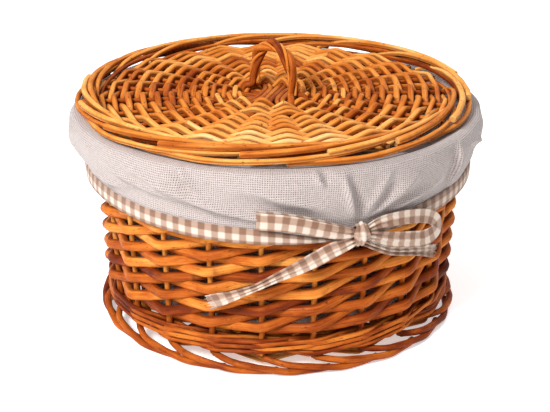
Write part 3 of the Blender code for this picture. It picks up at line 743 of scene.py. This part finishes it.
def make_wale():
    """Three rounds of three rods, each outside two stakes and inside the third, one stake after another."""
    for level in range(3):
        chance = np.random.default_rng(400 + level)
        bundle = Bundle(f"wale_{level + 1}")
        for rod in range(3):
            points = []
            for stroke in range(STAKE_COUNT + 1):
                stake = stroke + 7 * rod + 3 * level
                height = WALE_HEIGHT + WALE_PITCH * level + WALE_CLIMB[(stake + rod) % 3]
                outer, inner = wall_offsets(height, WALE_RADIUS)
                out = WALE_EASE * (outer + WALE_PROUD if (stake + rod) % 3 else -inner)
                height_here = height + chance.uniform(-0.0003, 0.0003)
                points.append(at(stake * STAKE_STEP, wall_radius(height) + out, height_here))
            line = turned(bent(points, WALE_BEND), FIRST_STAKE)
            radii = [WALE_RADIUS, WALE_RADIUS * 0.9, WALE_RADIUS * 0.75]
            # A dark tone, painted shade on the low wale, varied at random along each rod
            tones = 0.34 + chance.uniform(-0.14, 0.16, 7)
            bundle.rod(line, radii, tones, chance, 0.12, flat=WALE_FLAT, contact_shade_side="above")
        bundle.piece(STRAW, "basket", "straw_willow", [f"wale_rod_{level + 1}"])


# Stars of crossed sticks, and the rods that chase round them


Spoke = collections.namedtuple("Spoke", "side place index")


class Star:
    """Sticks in two crossed layers that splay in pairs and then singly, and the rows woven on them."""

    def __init__(self, plait):
        self.plait = plait
        self.pair_radius = plait.paired
        self.splay_radius = plait.single - plait.inner_gap * plait.fill / 2
        self.step = math.tau / sum(plait.ends)
        self.gap = 2 * plait.stick + STICK_GAP
        self.layer = 2 * plait.stick - FUSE_DEPTH
        self.spokes = []
        self.groups = []
        for side, ends in enumerate(plait.ends):
            arms = [Spoke(side, place, len(self.spokes) + place) for place in range(ends)]
            self.spokes += arms
            self.groups += self.pairs(arms)
        self.group_rows = [plait.inner + row * plait.inner_gap for row in range(2 * plait.turns + 2)]
        self.single_rows = [plait.single]
        while self.single_rows[-1] < plait.outer:
            here = self.single_rows[-1]
            growth = min(1.0, (here - plait.single) / (plait.end * GAP_GROWTH))
            gap = mix(plait.inner_gap, plait.outer_gap, growth) if here < plait.mouth else plait.tip_gap
            self.single_rows.append(here + gap)

    def pairs(self, arms):
        middle = [arms[len(arms) // 2]] if len(arms) % 2 else []
        rest = [arm for arm in arms if arm not in middle]
        groups = [rest[first : first + 2] for first in range(0, len(rest), 2)]
        if middle:
            groups.insert(len(groups) // 2, middle)
        return groups

    def angle(self, spoke):
        return (spoke.index - (self.plait.ends[0] - 1) / 2) * self.step

    def group_angle(self, group):
        return sum(self.angle(spoke) for spoke in group) / len(group)

    def core(self, side):
        return self.plait.ends[(side + 1) % len(self.plait.ends)] * self.gap / 2

    def level(self, spoke, radius):
        layer = self.layer / 2 if spoke.side % 2 else -self.layer / 2
        share = (self.pair_radius - radius) / (self.pair_radius - self.core(spoke.side))
        return layer * min(1.0, max(0.0, share))

    def spoke_points(self, spoke):
        across = (spoke.place - (self.plait.ends[spoke.side] - 1) / 2) * self.gap
        edge = turned([(self.core(spoke.side), across, 0.0)], spoke.side * math.tau / len(self.plait.ends))[0]
        edge[2] = self.level(spoke, 0.0)
        group = next(group for group in self.groups if spoke in group)
        beside = (group.index(spoke) - (len(group) - 1) / 2) * self.gap
        paired = turned([(self.pair_radius, beside, 0.0)], self.group_angle(group))[0]
        angle = self.angle(spoke)
        return [edge, paired, at(angle, self.splay_radius, 0.0), at(angle, self.plait.end, 0.0)]

    def sticks(self):
        """The points of every stick, from one end of it to the other."""
        half = len(self.plait.ends) // 2
        arms = {(spoke.side, spoke.place): spoke for spoke in self.spokes}
        for spoke in self.spokes:
            if spoke.side < half:
                far = arms[spoke.side + half, self.plait.ends[spoke.side] - 1 - spoke.place]
                yield self.spoke_points(spoke)[::-1] + self.spoke_points(far)

    def row(self, rows, place):
        low = min(int(place), len(rows) - 2)
        return mix(rows[low], rows[low + 1], place - low), (rows[low + 1] - rows[low]) * self.plait.fill / 2

    def crossings(self, rod):
        found = []
        for stroke in range(self.plait.turns * len(self.groups)):
            group = self.groups[stroke % len(self.groups)]
            found.append((group, *self.row(self.group_rows, rod + 2 * stroke / len(self.groups))))
        count = len(self.spokes)
        for stroke in range((len(self.single_rows) - 3) * count // 2 + LAST_STROKES):
            spoke = self.spokes[stroke % count]
            found.append(([spoke], *self.row(self.single_rows, rod + 2 * stroke / count)))
        return found

    def laid_in(self):
        """The crossings of the short rods that fill the ring where the sticks splay."""
        pitch = self.plait.inner_gap
        rod_radius = pitch * self.plait.fill / 2
        start = self.group_rows[2 * self.plait.turns - 1]
        count = round((self.plait.single - start) / pitch)
        for number in range(1, count):
            inner = mix(start, self.plait.single, number / count)
            held = self.groups if inner < self.pair_radius - pitch else [[spoke] for spoke in self.spokes]
            yield [
                (held[stroke % len(held)], inner + 2 * pitch * stroke / len(held), rod_radius)
                for stroke in range(len(held) + 1)
            ]

    def rod_points(self, crossings, rod):
        """Where the rod bends, over one group or spoke and under the next, and its radius there."""
        turns = [self.group_angle(group) for group, _, _ in crossings]
        points = []
        for stroke, (group, radius, rod_radius) in enumerate(crossings):
            near = [turns[place] for place in (stroke - 1, stroke + 1) if 0 <= place < len(turns)]
            step = min(abs(math.remainder(turn - turns[stroke], math.tau)) for turn in near)
            half_width = (len(group) - 1) * self.gap / 2
            clear = self.plait.stick + rod_radius * ROW_FLAT[1] + STAR_CLEAR
            offset = min(ROW_REACH, weave_offsets(2 * radius * math.sin(step / 2), 0.0, clear, half_width)[0])
            lift = offset if (stroke + rod) % 2 == 0 else -offset
            points.append(at(turns[stroke], radius, self.level(group[0], radius) + lift))
        return points, [rod_radius for _, _, rod_radius in crossings]


def row_tone(run, end, tones, chance):
    """The tone along a length of rod: painted light, paler towards the front and the edge and darker at the
    left and right, and darker in the middle.
    """
    toward = np.arctan2(run[:, 0], -run[:, 1])
    out = np.hypot(run[:, 0], run[:, 1]) / end
    # Painted light: paler where the front lamp falls, hardly paler at the back, darker at the left and right
    paler = 0.10 * np.cos(2 * toward) + 0.08 * np.cos(toward)
    painted_light_and_middle = paler * np.clip(out * 1.4, 0.0, 1.0) - 0.16 * (1 - out)
    return np.clip(chance.normal(*tones) + painted_light_and_middle + chance.normal(0.0, 0.04, len(run)), 0.1, 0.95)


def make_star(name, plait, body, seat, turn, tones):
    """The crossed sticks, and the two rods, each laid in lengths that overlap where a new one starts."""
    star = Star(plait)
    chance = np.random.default_rng(500 + len(name))
    bundle = Bundle(f"{name}_spokes")
    for points in star.sticks():
        line = turned(bent(points, STICK_BEND), turn, seat)
        tone = chance.uniform(0.30, 0.50)
        bundle.rod(line, plait.stick, tone, chance, sides=8, flat=LYING, contact_shade_side="beside")
    bundle.piece(HONEY, body, "honey_willow", [f"{name}_sticks"])
    for rod, label in enumerate("ab"):
        bundle = Bundle(f"{name}_round_{label}")
        for number, crossings in enumerate(star.laid_in()):
            if number % 2 == rod:
                points, radii = star.rod_points(crossings, number + 1)
                line = bent(turned(points, turn, seat), *ROW_BEND)
                bundle.rod(line, radii, tones[0] - 0.08, chance, 0.08, flat=ROW_FLAT, contact_shade_side="beside")
        points, radii = star.rod_points(star.crossings(rod), rod)
        points = turned(points, turn, seat)
        start = 0
        while start < len(points) - 2:
            stop = start + (int(chance.integers(*NEXT_LENGTHS)) if start else FIRST_LENGTH)
            if len(points) - stop < SHORTEST_LENGTH:
                stop = len(points)
            run = points[start:stop]
            tone = row_tone(run, plait.end, tones, chance)
            line = bent(run, *ROW_BEND)
            bundle.rod(line, radii[start:stop], tone, chance, 0.08, flat=ROW_FLAT, contact_shade_side="beside")
            start = stop - 1 if stop < len(points) else stop
        bundle.piece(STRAW, body, "straw_willow", [f"{name}_weaver_{label}"])


def make_lid_border():
    """Rods that rise out of the weave and run over each other, with others under them and round the edge."""
    bundle = Bundle("lid_rim")
    chance = np.random.default_rng(650)
    for kind in (OVER_RODS, EDGE_RODS, UNDER_RODS):
        step = math.tau / kind.count
        radii = [mix(kind.thin, kind.thick, share) for share in (0.0, 0.5, 0.8, 1.0)]
        for number in range(kind.count):
            aside = chance.uniform(-0.0006, 0.0006)
            lift = chance.uniform(-0.0005, 0.0005)
            points = [at(-along * step, out + aside, up + lift) for along, out, up in kind.keys]
            turn = LID_TURN + (number + chance.uniform(-0.1, 0.1)) * step
            # The kind's tone carries painted light and shade: paler on top, darker underneath
            tones = kind.tone + chance.uniform(-0.16, 0.14) + chance.uniform(-0.06, 0.06, 5)
            line = turned(bent(points, BORDER_BEND), turn, LID_SEAT)
            bundle.rod(line, radii, tones, chance, 0.06, flat=LYING, contact_shade_side="beside")
    bundle.piece(HONEY, "lid", "honey_willow", ["lid_border"])


def arch_points(strand):
    """A strand's line over the arch, wound round the arch's middle half a turn on from the strand before."""
    top = HANDLE_RISE - HANDLE_RADIUS - HANDLE_OFFSET
    share = np.linspace(0.0, 1.0, HANDLE_POINTS)
    phase = math.pi * (2 * HANDLE_TURNS * share + strand + 0.5)
    outward = HANDLE_OFFSET * np.cos(phase)
    along = (HANDLE_SPAN / 2 + outward) * np.cos(math.pi * share)
    arch = np.maximum(0.0, np.sin(math.pi * share)) ** HANDLE_ARCH_POWER
    height = HANDLE_NECK + (top - HANDLE_NECK + outward) * arch
    return np.stack([along, HANDLE_OFFSET * np.sin(phase), height], 1)


def leg_points(end, half_gap):
    along = math.copysign(HANDLE_HOLE * math.cos(half_gap), end[0])
    across = math.copysign(HANDLE_HOLE * math.sin(half_gap), end[1])
    return [(along, across, -HANDLE_TAIL), (along, across, HANDLE_NECK * HANDLE_NECK_SHARE)]


def make_handle():
    star = Star(LID_PLAIT)
    group, neighbour = star.groups[:2]
    half_gap = (star.group_angle(neighbour) - star.group_angle(group)) / 2
    facing = LID_TURN + star.group_angle(group)
    for strand, label in enumerate("ab"):
        chance = np.random.default_rng(700 + strand)
        bundle = Bundle(f"handle_{label}")
        arch = arch_points(strand)
        points = np.concatenate([leg_points(arch[0], half_gap), arch, leg_points(arch[-1], half_gap)[::-1]])
        line = turned(bent(points, HANDLE_BEND), facing, LID_SEAT)
        bundle.rod(line, HANDLE_RADIUS, HANDLE_TONES[strand], chance, 0.05, 0.12, step=HANDLE_STEP)
        thin = turned(arch_points(strand + THIN_STRAND_BEHIND), facing, LID_SEAT)
        radii = HANDLE_RADIUS * np.array(THIN_STRAND_SHARES)
        bundle.rod(thin, radii, THIN_STRAND_TONE, chance, 0.05, 0.15, step=HANDLE_STEP)
        bundle.piece(BROWN, "lid", "brown_willow", [f"handle_strand_{label}"])


# The liner


def cloth_mesh(name, points, places, closed=False, kept=None):
    """A grid of cloth. `places` tells where its points lie on the flat cloth, in metres, `closed` joins its
    last column to its first, and `kept` picks its faces."""
    index = np.arange(points[..., 0].size).reshape(points.shape[:2])
    if closed:
        index = np.concatenate([index, index[:, :1]], 1)
    quads, corners = (
        np.stack([grid[:-1, :-1], grid[:-1, 1:], grid[1:, 1:], grid[1:, :-1]], 2) for grid in (index, places)
    )
    if kept is not None:
        quads, corners = quads[kept], corners[kept]
    mesh = bpy.data.meshes.new(name)
    mesh.from_pydata(points.reshape(-1, 3).tolist(), [], quads.reshape(-1, 4).tolist())
    mesh.polygons.foreach_set("use_smooth", [True] * len(mesh.polygons))
    values = np.pad(corners.reshape(-1, 2), ((0, 0), (0, 1))).astype(np.float32)
    place = mesh.attributes.new("cloth_place", "FLOAT_VECTOR", "CORNER")
    place.data.foreach_set("vector", values.reshape(-1))
    return mesh


def cloth_tube(name, angles, rows, girth, down=None):
    """A tube of cloth from its rows of (radius, height). `girth` is the flat cloth's width, and `down` tells
    how far down it each row lies, or else the rows lie as far apart as in the tube."""
    radius, height = (np.array([np.broadcast_to(row[part], angles.shape) for row in rows]) for part in (0, 1))
    points = at(angles, radius, height)
    if down is None:
        steps = np.linalg.norm(np.diff(points, axis=0), axis=2).mean(1)
        down = np.concatenate([[0.0], np.cumsum(steps)])
    around = np.arange(len(angles) + 1) * girth / len(angles)
    return cloth_mesh(name, points, np.stack(np.meshgrid(around, down), 2), closed=True)


def sewn(name, mesh, finish, slot, node, offset=0.0):
    """A mesh of cloth as a piece of the basket. Its thickness lies on both sides of it, or at 1 outside."""
    piece = placed(name, mesh, finish, "basket", slot, [node])
    solidify = piece.modifiers.new("cloth", "SOLIDIFY")
    solidify.thickness = CLOTH_THICKNESS
    solidify.offset = offset
    return piece


def hem_height(angle):
    return HEM_HEIGHT + HEM_SIDE_RISE * np.cos(angle) ** 2


def ridge(x, z, start, end, width, height, fade=0.35):
    """A soft fold along a line on the unrolled cuff: a sharp crest, and a hollow on its lower side."""
    run = np.array(end) - np.array(start)
    length = np.hypot(*run)
    along = ((x - start[0]) * run[0] + (z - start[1]) * run[1]) / length
    aside = (-(x - start[0]) * run[1] + (z - start[1]) * run[0]) / length / width
    share = np.clip(along / length, 0.0, 1.0)
    ends = np.clip(share / fade, 0, 1) * np.clip((1 - share) / fade, 0, 1)
    return height * ends * (np.exp(-2.2 * np.abs(aside) ** 1.4) - 0.75 * np.exp(-((aside + 1.2) ** 2)))


# The cuff's folds: from and to, each as metres round from the front and a height, then width and depth
CUFF_FOLDS = (
    ((KNOT_X - 0.0030, 0.1240), (KNOT_X - 0.0140, 0.1630), 0.0040, 0.0064),
    ((0.0310, 0.1530), (0.0230, 0.1660), 0.0034, 0.0042),
    ((-0.0300, 0.1540), (KNOT_X - 0.0140, 0.1350), 0.0062, 0.0052),
    ((-0.1213, 0.1570), (-0.0100, 0.1290), 0.0068, 0.0062),
    ((-0.1467, 0.1515), (-0.0500, 0.1310), 0.0058, 0.0044),
    ((-0.0900, 0.1430), (KNOT_X - 0.0200, 0.1210), 0.0050, 0.0048),
    ((-0.0450, 0.1250), (KNOT_X - 0.0040, 0.1170), 0.0034, 0.0040),
    ((-0.0722, 0.1655), (-0.0520, 0.1460), 0.0036, 0.0046),
    ((KNOT_X + 0.0020, 0.1210), (0.1050, 0.1530), 0.0060, 0.0048),
    ((KNOT_X + 0.0040, 0.1190), (0.1380, 0.1420), 0.0056, 0.0034),
    ((KNOT_X + 0.0010, 0.1220), (0.0800, 0.1620), 0.0046, 0.0036),
    ((0.1480, 0.1650), (0.1500, 0.1250), 0.0050, 0.0046),
    ((-0.1850, 0.1280), (-0.0850, 0.1410), 0.0052, 0.0022),
    ((-0.2100, 0.1480), (-0.1200, 0.1300), 0.0050, 0.0026),
    ((0.1650, 0.1580), (0.2150, 0.1400), 0.0050, 0.0030),
    ((0.3000, 0.1500), (0.3600, 0.1260), 0.0060, 0.0030),
    ((-0.3000, 0.1300), (-0.3900, 0.1500), 0.0060, 0.0030),
    ((0.4200, 0.1300), (0.4700, 0.1520), 0.0060, 0.0028),
    ((-0.2600, 0.1580), (-0.2350, 0.1280), 0.0060, 0.0028),
    ((0.2350, 0.1260), (0.2750, 0.1580), 0.0060, 0.0028),
)


def cuff_folds(x, z):
    """How far the folds stand out on the cuff's outer fall. x runs round from the front, z is the height."""
    ripples = np.sin(150 * x + 90 * z + 3 * np.sin(40 * z)) + np.sin(95 * x - 170 * z + 2 * np.sin(55 * x))
    return sum(ridge(x, z, *fold) for fold in CUFF_FOLDS) + CUFF_RIPPLE * ripples


def make_cuff():
    angles = np.linspace(0.0, math.tau, CUFF_COLUMNS, endpoint=False)
    chance = np.random.default_rng(800)
    seam = wall_radius(SEAM_HEIGHT) - BAG_INSET
    crown = mix(WALL_RIM_RADIUS, HEM_RADIUS + PUFF, CROWN_SHARE)
    rows = [(seam, SEAM_HEIGHT + CLEAR), (seam, RIM_TOP - 0.0016), (seam + SEAM_ROLL, RIM_TOP - 0.0002)]
    for share, rise in ((0.3, 0.0), (0.6, 0.3), (1.0, 1.0)):
        rows.append((mix(seam + SEAM_ROLL, crown, share), RIM_TOP + CROWN_RISE * rise))
    waves = np.zeros(CUFF_COLUMNS)
    for count in CUFF_WAVES:
        share = chance.uniform(0.3, 1.0)
        waves += CUFF_WAVE_DEPTH * share * np.sin(count * angles + chance.uniform(0, math.tau))
    puffs = LEFT_PUFF * np.exp(-((wrapped(angles - math.pi) / 0.55) ** 2))
    puffs = puffs + RIGHT_PUFF * np.exp(-((wrapped(angles) / 0.50) ** 2))
    x = wrapped(angles + math.pi / 2) * HEM_RADIUS
    hem = hem_height(angles)
    for fall in np.linspace(0.0, 1.0, CUFF_ROWS + 1)[1:]:
        height = mix(RIM_TOP + CROWN_RISE, hem + HEM_WIDTH, fall)
        radius = HEM_RADIUS + PUFF * np.interp(fall, CUFF_FALL_SHARES, CUFF_REACH_SHARES)
        radius = radius + waves * math.sin(math.pi * min(1.0, fall * 1.1)) + puffs * math.sin(math.pi * fall)
        rows.append((np.maximum(radius + cuff_folds(x, height), CUFF_LEAST), height))
    rows += [(HEM_RADIUS, hem + HEM_WIDTH / 2), (HEM_RADIUS, hem)]
    piece = sewn("cuff", cloth_tube("cuff", angles, rows, HEM_GIRTH), LINEN, "natural_linen", "liner_cuff")


def make_bag():
    """The liner's inside: a side that is pressed out between the rods at each stake, and a round floor."""
    angles = np.linspace(0.0, math.tau, BAG_COLUMNS, endpoint=False)
    at_stake = np.cos((angles - FIRST_STAKE) * STAKE_COUNT / 2) ** 2
    rows = []
    for height in np.linspace(SEAM_HEIGHT, BAG_FLOOR + BAG_ROUND_HEIGHT, 56):
        share = (height - BAG_FLOOR) / (SEAM_HEIGHT - BAG_FLOOR)
        crease = 0.0006 * np.sin(17 * angles + 2.0 * share) + 0.0005 * np.sin(29 * angles - 3.0 * share)
        between = math.cos(math.pi * (height - WEAVER_HEIGHT) / (2 * WEAVER_CLIMB)) ** 2
        pressed = BAG_PRESSED * at_stake * between * min(1.0, 8 * (1 - share)) * min(1.0, 6 * share)
        inset = BAG_INSET + BAG_TAPER * (1 - share) + BAG_SLACK
        rows.append((wall_radius(height) - inset + crease + pressed, height))
    edge = wall_radius(BAG_FLOOR) - BAG_INSET - BAG_FLOOR_INSET - BAG_ROUND
    for bend in np.linspace(0.0, math.pi / 2, 5)[1:]:
        height = BAG_FLOOR + BAG_ROUND_HEIGHT - 0.007 * math.sin(bend)
        rows.append((edge + BAG_ROUND * math.cos(bend), height))
    for share in np.linspace(1.0, 0.0, 14)[1:]:
        height = BAG_FLOOR + 0.001 + 0.0006 * share * np.sin(3 * angles + 9 * share)
        rows.append((edge * max(share, 0.004), height))
    piece = sewn("bag", cloth_tube("bag", angles, rows, BAG_GIRTH), LINEN, "natural_linen", "liner_bag")


def make_band():
    """The checked band round the hem, drawn narrow under the knot."""
    angles = np.linspace(0.0, math.tau, CUFF_COLUMNS, endpoint=False)
    shares = np.linspace(0.0, 1.0, 7)
    from_knot = wrapped(angles - KNOT_ANGLE) + BAND_PINCH_ASIDE
    width = HEM_WIDTH * (1 - BAND_PINCH * np.exp(-((from_knot / BAND_PINCH_REACH) ** 2)))
    rows = []
    for share in shares:
        radius = BAND_RADIUS - 0.0004 + 0.0005 * math.sin(math.pi * share)
        rows.append((radius, hem_height(angles) + width * (1 - share) * 0.96))
    mesh = cloth_tube("hem_checks", angles, rows, HEM_GIRTH, shares * HEM_WIDTH)
    piece = sewn("hem_checks", mesh, CHECK, "tan_check_cotton", "hem_band", offset=1.0)


# The tied ribbon


def catmull(keys, share):
    """A smooth run through the keys, read at places between them."""
    padded = np.concatenate([[2 * keys[0] - keys[1]], keys, [2 * keys[-1] - keys[-2]]])
    low = np.minimum(share.astype(int), len(keys) - 2)
    t = (share - low)[:, None]
    a, b, c, d = (padded[low + step] for step in range(4))
    return b + 0.5 * t * (c - a + t * (2 * a - 5 * b + 4 * c - d + t * (3 * (b - c) + d - a)))


def ribbon_grid(keys, upright):
    """A ribbon through its keys. An upright one stands on edge all along, so that it can turn back."""
    share = np.linspace(0, len(keys) - 1, (len(keys) - 1) * ROWS_PER_KEY + 1)
    degrees, height, out, width, tilt, crease = catmull(np.array(keys, float), share).T
    angle = np.radians(degrees) - math.pi / 2
    centre = at(angle, BAND_RADIUS + out, height)
    ahead = np.gradient(centre, axis=0)
    ahead /= np.linalg.norm(ahead, axis=1)[:, None]
    across = np.cross(ahead, at(angle, 1.0, 0.0))
    if upright:
        across = np.array((0.0, 0.0, 1.0)) - ahead * ahead[:, 2:]
    across /= np.linalg.norm(across, axis=1)[:, None]
    outward = np.cross(across, ahead)
    cosine, sine = np.cos(np.radians(tilt))[:, None], np.sin(np.radians(tilt))[:, None]
    across, outward = across * cosine + outward * sine, outward * cosine - across * sine
    place = np.linspace(-1.0, 1.0, RIBBON_COLUMNS)
    beside = np.outer(width / 2, place)
    pleat = np.outer(crease, np.cos(place * math.pi * 2.2 + 0.6))
    points = centre[:, None] + across[:, None] * beside[..., None] + outward[:, None] * pleat[..., None]
    return points, np.stack(np.broadcast_arrays(beside, run_along(centre)[:, None]), 2)


def frayed(grid, chance):
    """Which faces a ribbon with a frayed end keeps, after its last threads are spread and bent apart."""
    rows, columns = grid.shape[0] - 1, grid.shape[1] - 1
    kept = np.ones((rows, columns), bool)
    kept[-FRINGE_ROWS:, 1::2] = False
    for column in range(0, columns, 2):
        short = int(chance.integers(0, 4))
        kept[rows - short :, column] = False
        sway = chance.normal(0.0, 0.0004, 3)
        for step in range(FRINGE_ROWS):
            grid[rows - step, column : column + 2] += sway * ((FRINGE_ROWS - step) / FRINGE_ROWS) ** 2
    return kept


# The ribbon's keys: degrees round from the front, height, how far out, width, tilt and how deep it creases
LEFT_LOOP = (
    (20.5, 0.1160, 0.0034, 0.0056, 0, 0.0010), (16.2, 0.1184, 0.0028, 0.0092, 0, 0.0006),
    (10.8, 0.1226, 0.0020, 0.0112, 0, 0.0003), (5.5, 0.1262, 0.0016, 0.0118, 0, 0.0002),
    (0.0, 0.1286, 0.0016, 0.0124, 0, 0.0001), (-4.4, 0.1294, 0.0024, 0.0128, 0, 0.0),
    (-5.4, 0.1294, 0.0040, 0.0128, 0, 0.0), (-4.4, 0.1292, 0.0056, 0.0128, 0, 0.0001),
    (0.5, 0.1286, 0.0062, 0.0123, 0, 0.0002), (5.5, 0.1262, 0.0060, 0.0117, 0, 0.0004),
    (10.8, 0.1222, 0.0056, 0.0110, 0, 0.0006), (16.2, 0.1180, 0.0052, 0.0092, 0, 0.0009),
    (20.5, 0.1160, 0.0046, 0.0056, 0, 0.0012),
)
RIGHT_LOOP = (
    (22.5, 0.1165, 0.0030, 0.0050, 0, 0.0010), (27.0, 0.1203, 0.0030, 0.0080, 8, 0.0007),
    (31.8, 0.1206, 0.0030, 0.0096, 10, 0.0004), (37.5, 0.1190, 0.0032, 0.0102, 10, 0.0002),
    (43.5, 0.1152, 0.0040, 0.0104, 6, 0.0001), (47.0, 0.1088, 0.0050, 0.0104, 0, 0.0),
    (46.4, 0.1024, 0.0062, 0.0108, -8, 0.0001), (42.0, 0.1004, 0.0068, 0.0116, -12, 0.0002),
    (36.0, 0.1034, 0.0064, 0.0116, -12, 0.0004), (29.5, 0.1080, 0.0056, 0.0096, -8, 0.0006),
    (24.0, 0.1134, 0.0048, 0.0056, 0, 0.0010),
)
LEFT_TAIL = (
    (21.2, 0.1120, 0.0034, 0.0068, 0, 0.0014), (17.5, 0.1082, 0.0030, 0.0098, -6, 0.0009),
    (13.8, 0.1040, 0.0022, 0.0112, -8, 0.0006), (10.0, 0.0985, 0.0014, 0.0110, -10, 0.0006),
    (6.2, 0.0930, 0.0004, 0.0096, -12, 0.0007), (0.0, 0.0845, -0.0012, 0.0066, -14, 0.0009),
    (-5.8, 0.0758, -0.0022, 0.0050, -8, 0.0010), (-9.0, 0.0718, -0.0026, 0.0060, 0, 0.0008),
    (-12.5, 0.0676, -0.0026, 0.0082, 8, 0.0006), (-16.5, 0.0632, -0.0026, 0.0112, 10, 0.0003),
    (-20.2, 0.0594, -0.0024, 0.0134, 10, 0.0002),
)
RIGHT_TAIL = (
    (23.0, 0.1080, 0.0024, 0.0050, 0, 0.0014), (27.5, 0.1010, 0.0018, 0.0056, 4, 0.0010),
    (31.5, 0.0958, 0.0012, 0.0060, 6, 0.0008), (36.0, 0.0920, 0.0004, 0.0062, 8, 0.0007),
    (41.0, 0.0882, -0.0008, 0.0068, 8, 0.0006), (47.0, 0.0830, -0.0020, 0.0088, 4, 0.0004),
    (53.0, 0.0768, -0.0030, 0.0116, 0, 0.0003),
)


def make_bow():
    meshes = []
    chance = np.random.default_rng(900)
    for number, keys in enumerate((LEFT_LOOP, RIGHT_LOOP, LEFT_TAIL, RIGHT_TAIL)):
        grid, places = ribbon_grid(keys, upright=keys is LEFT_LOOP)
        kept = None if keys in (LEFT_LOOP, RIGHT_LOOP) else frayed(grid, chance)
        meshes.append(cloth_mesh(f"ribbon_{number}", grid, places + number * 0.11, kept=kept))
    meshes.append(knot_mesh())
    piece = sewn("bow", joined_mesh("bow", meshes), CHECK, "tan_check_cotton", "tie_bow")


def knot_mesh():
    """The knot: a short band of the ribbon wound tight over the crossing."""
    turn = np.linspace(0.0, math.tau, 40)[:, None]
    across = np.linspace(-1.0, 1.0, RIBBON_COLUMNS)
    swell = np.sqrt(1 - 0.62 * across**2) + 0.11 * np.sin(8 * across + 2.4 * np.sin(turn))
    out = KNOT_OUT + KNOT_HALF_DEPTH * np.cos(turn) * swell
    up = KNOT_HALF_RISE * np.sin(turn) * swell
    side = across * (KNOT_HALF_WIDTH + 0.0009 * np.cos(2 * turn))
    angle = KNOT_ANGLE + (side + 0.12 * up) / BAND_RADIUS
    places = np.stack(np.broadcast_arrays(across * 0.0054, turn * 0.0064), 2)
    return cloth_mesh("knot", at(angle, BAND_RADIUS + out, KNOT_HEIGHT + up - 0.2 * side), places + 0.0275)


def joined_mesh(name, meshes):
    objects = [shown(mesh.name, mesh) for mesh in meshes]
    with bpy.context.temp_override(active_object=objects[0], selected_editable_objects=objects):
        bpy.ops.object.join()
    joined = objects[0].data
    bpy.data.objects.remove(objects[0])
    return joined


# The room


def make_floor():
    half = FLOOR_SIDE / 2
    mesh = bpy.data.meshes.new("floor")
    corners = [(-half, -half, 0), (half, -half, 0), (half, half, 0), (-half, half, 0)]
    mesh.from_pydata(corners, [], [(0, 1, 2, 3)])
    finish = Finish("studio_paper", Roughness=0.9, Base_Color=(0.93, 0.93, 0.93, 1.0), Emission_Strength=0.45)
    mesh.materials.append(finish.material)
    shown("floor", mesh)


def make_light(lamp):
    data = bpy.data.lights.new(lamp.name, "AREA")
    data.shape = "DISK"
    data.size = lamp.size
    data.energy = lamp.power
    light = shown(lamp.name, data)
    light.location = lamp.place
    light.rotation_euler = (Vector(LAMP_TARGET) - Vector(lamp.place)).to_track_quat("-Z", "Y").to_euler()


def make_room():
    make_floor()
    world = bpy.data.worlds.new("studio")
    world.use_nodes = True
    background = world.node_tree.nodes["Background"]
    background.inputs["Color"].default_value = (1.0, 1.0, 1.0, 1.0)
    background.inputs["Strength"].default_value = ROOM_LIGHT
    bpy.context.scene.world = world
    bpy.context.scene.view_settings.view_transform = "Standard"
    for lamp in LAMPS:
        make_light(lamp)


def make_camera():
    data = bpy.data.cameras.new("camera")
    data.sensor_width = SENSOR_WIDTH
    data.lens = CAMERA_FOCUS_PIXELS / PHOTO_WIDTH * SENSOR_WIDTH
    camera = shown("camera", data)
    camera.location = CAMERA_PLACE
    camera.rotation_euler = (math.pi / 2 - CAMERA_DOWN, 0.0, 0.0)
    bpy.context.scene.camera = camera


make_camera()
make_stakes()
make_weavers()
make_wale()
make_star("base", BASE_PLAIT, "basket", BASE_SEAT, BASE_TURN, BASE_TONES)
make_star("lid", LID_PLAIT, "lid", LID_SEAT, LID_TURN, LID_TONES)
make_lid_border()
make_handle()
make_bag()
make_cuff()
make_band()
make_bow()
make_room()
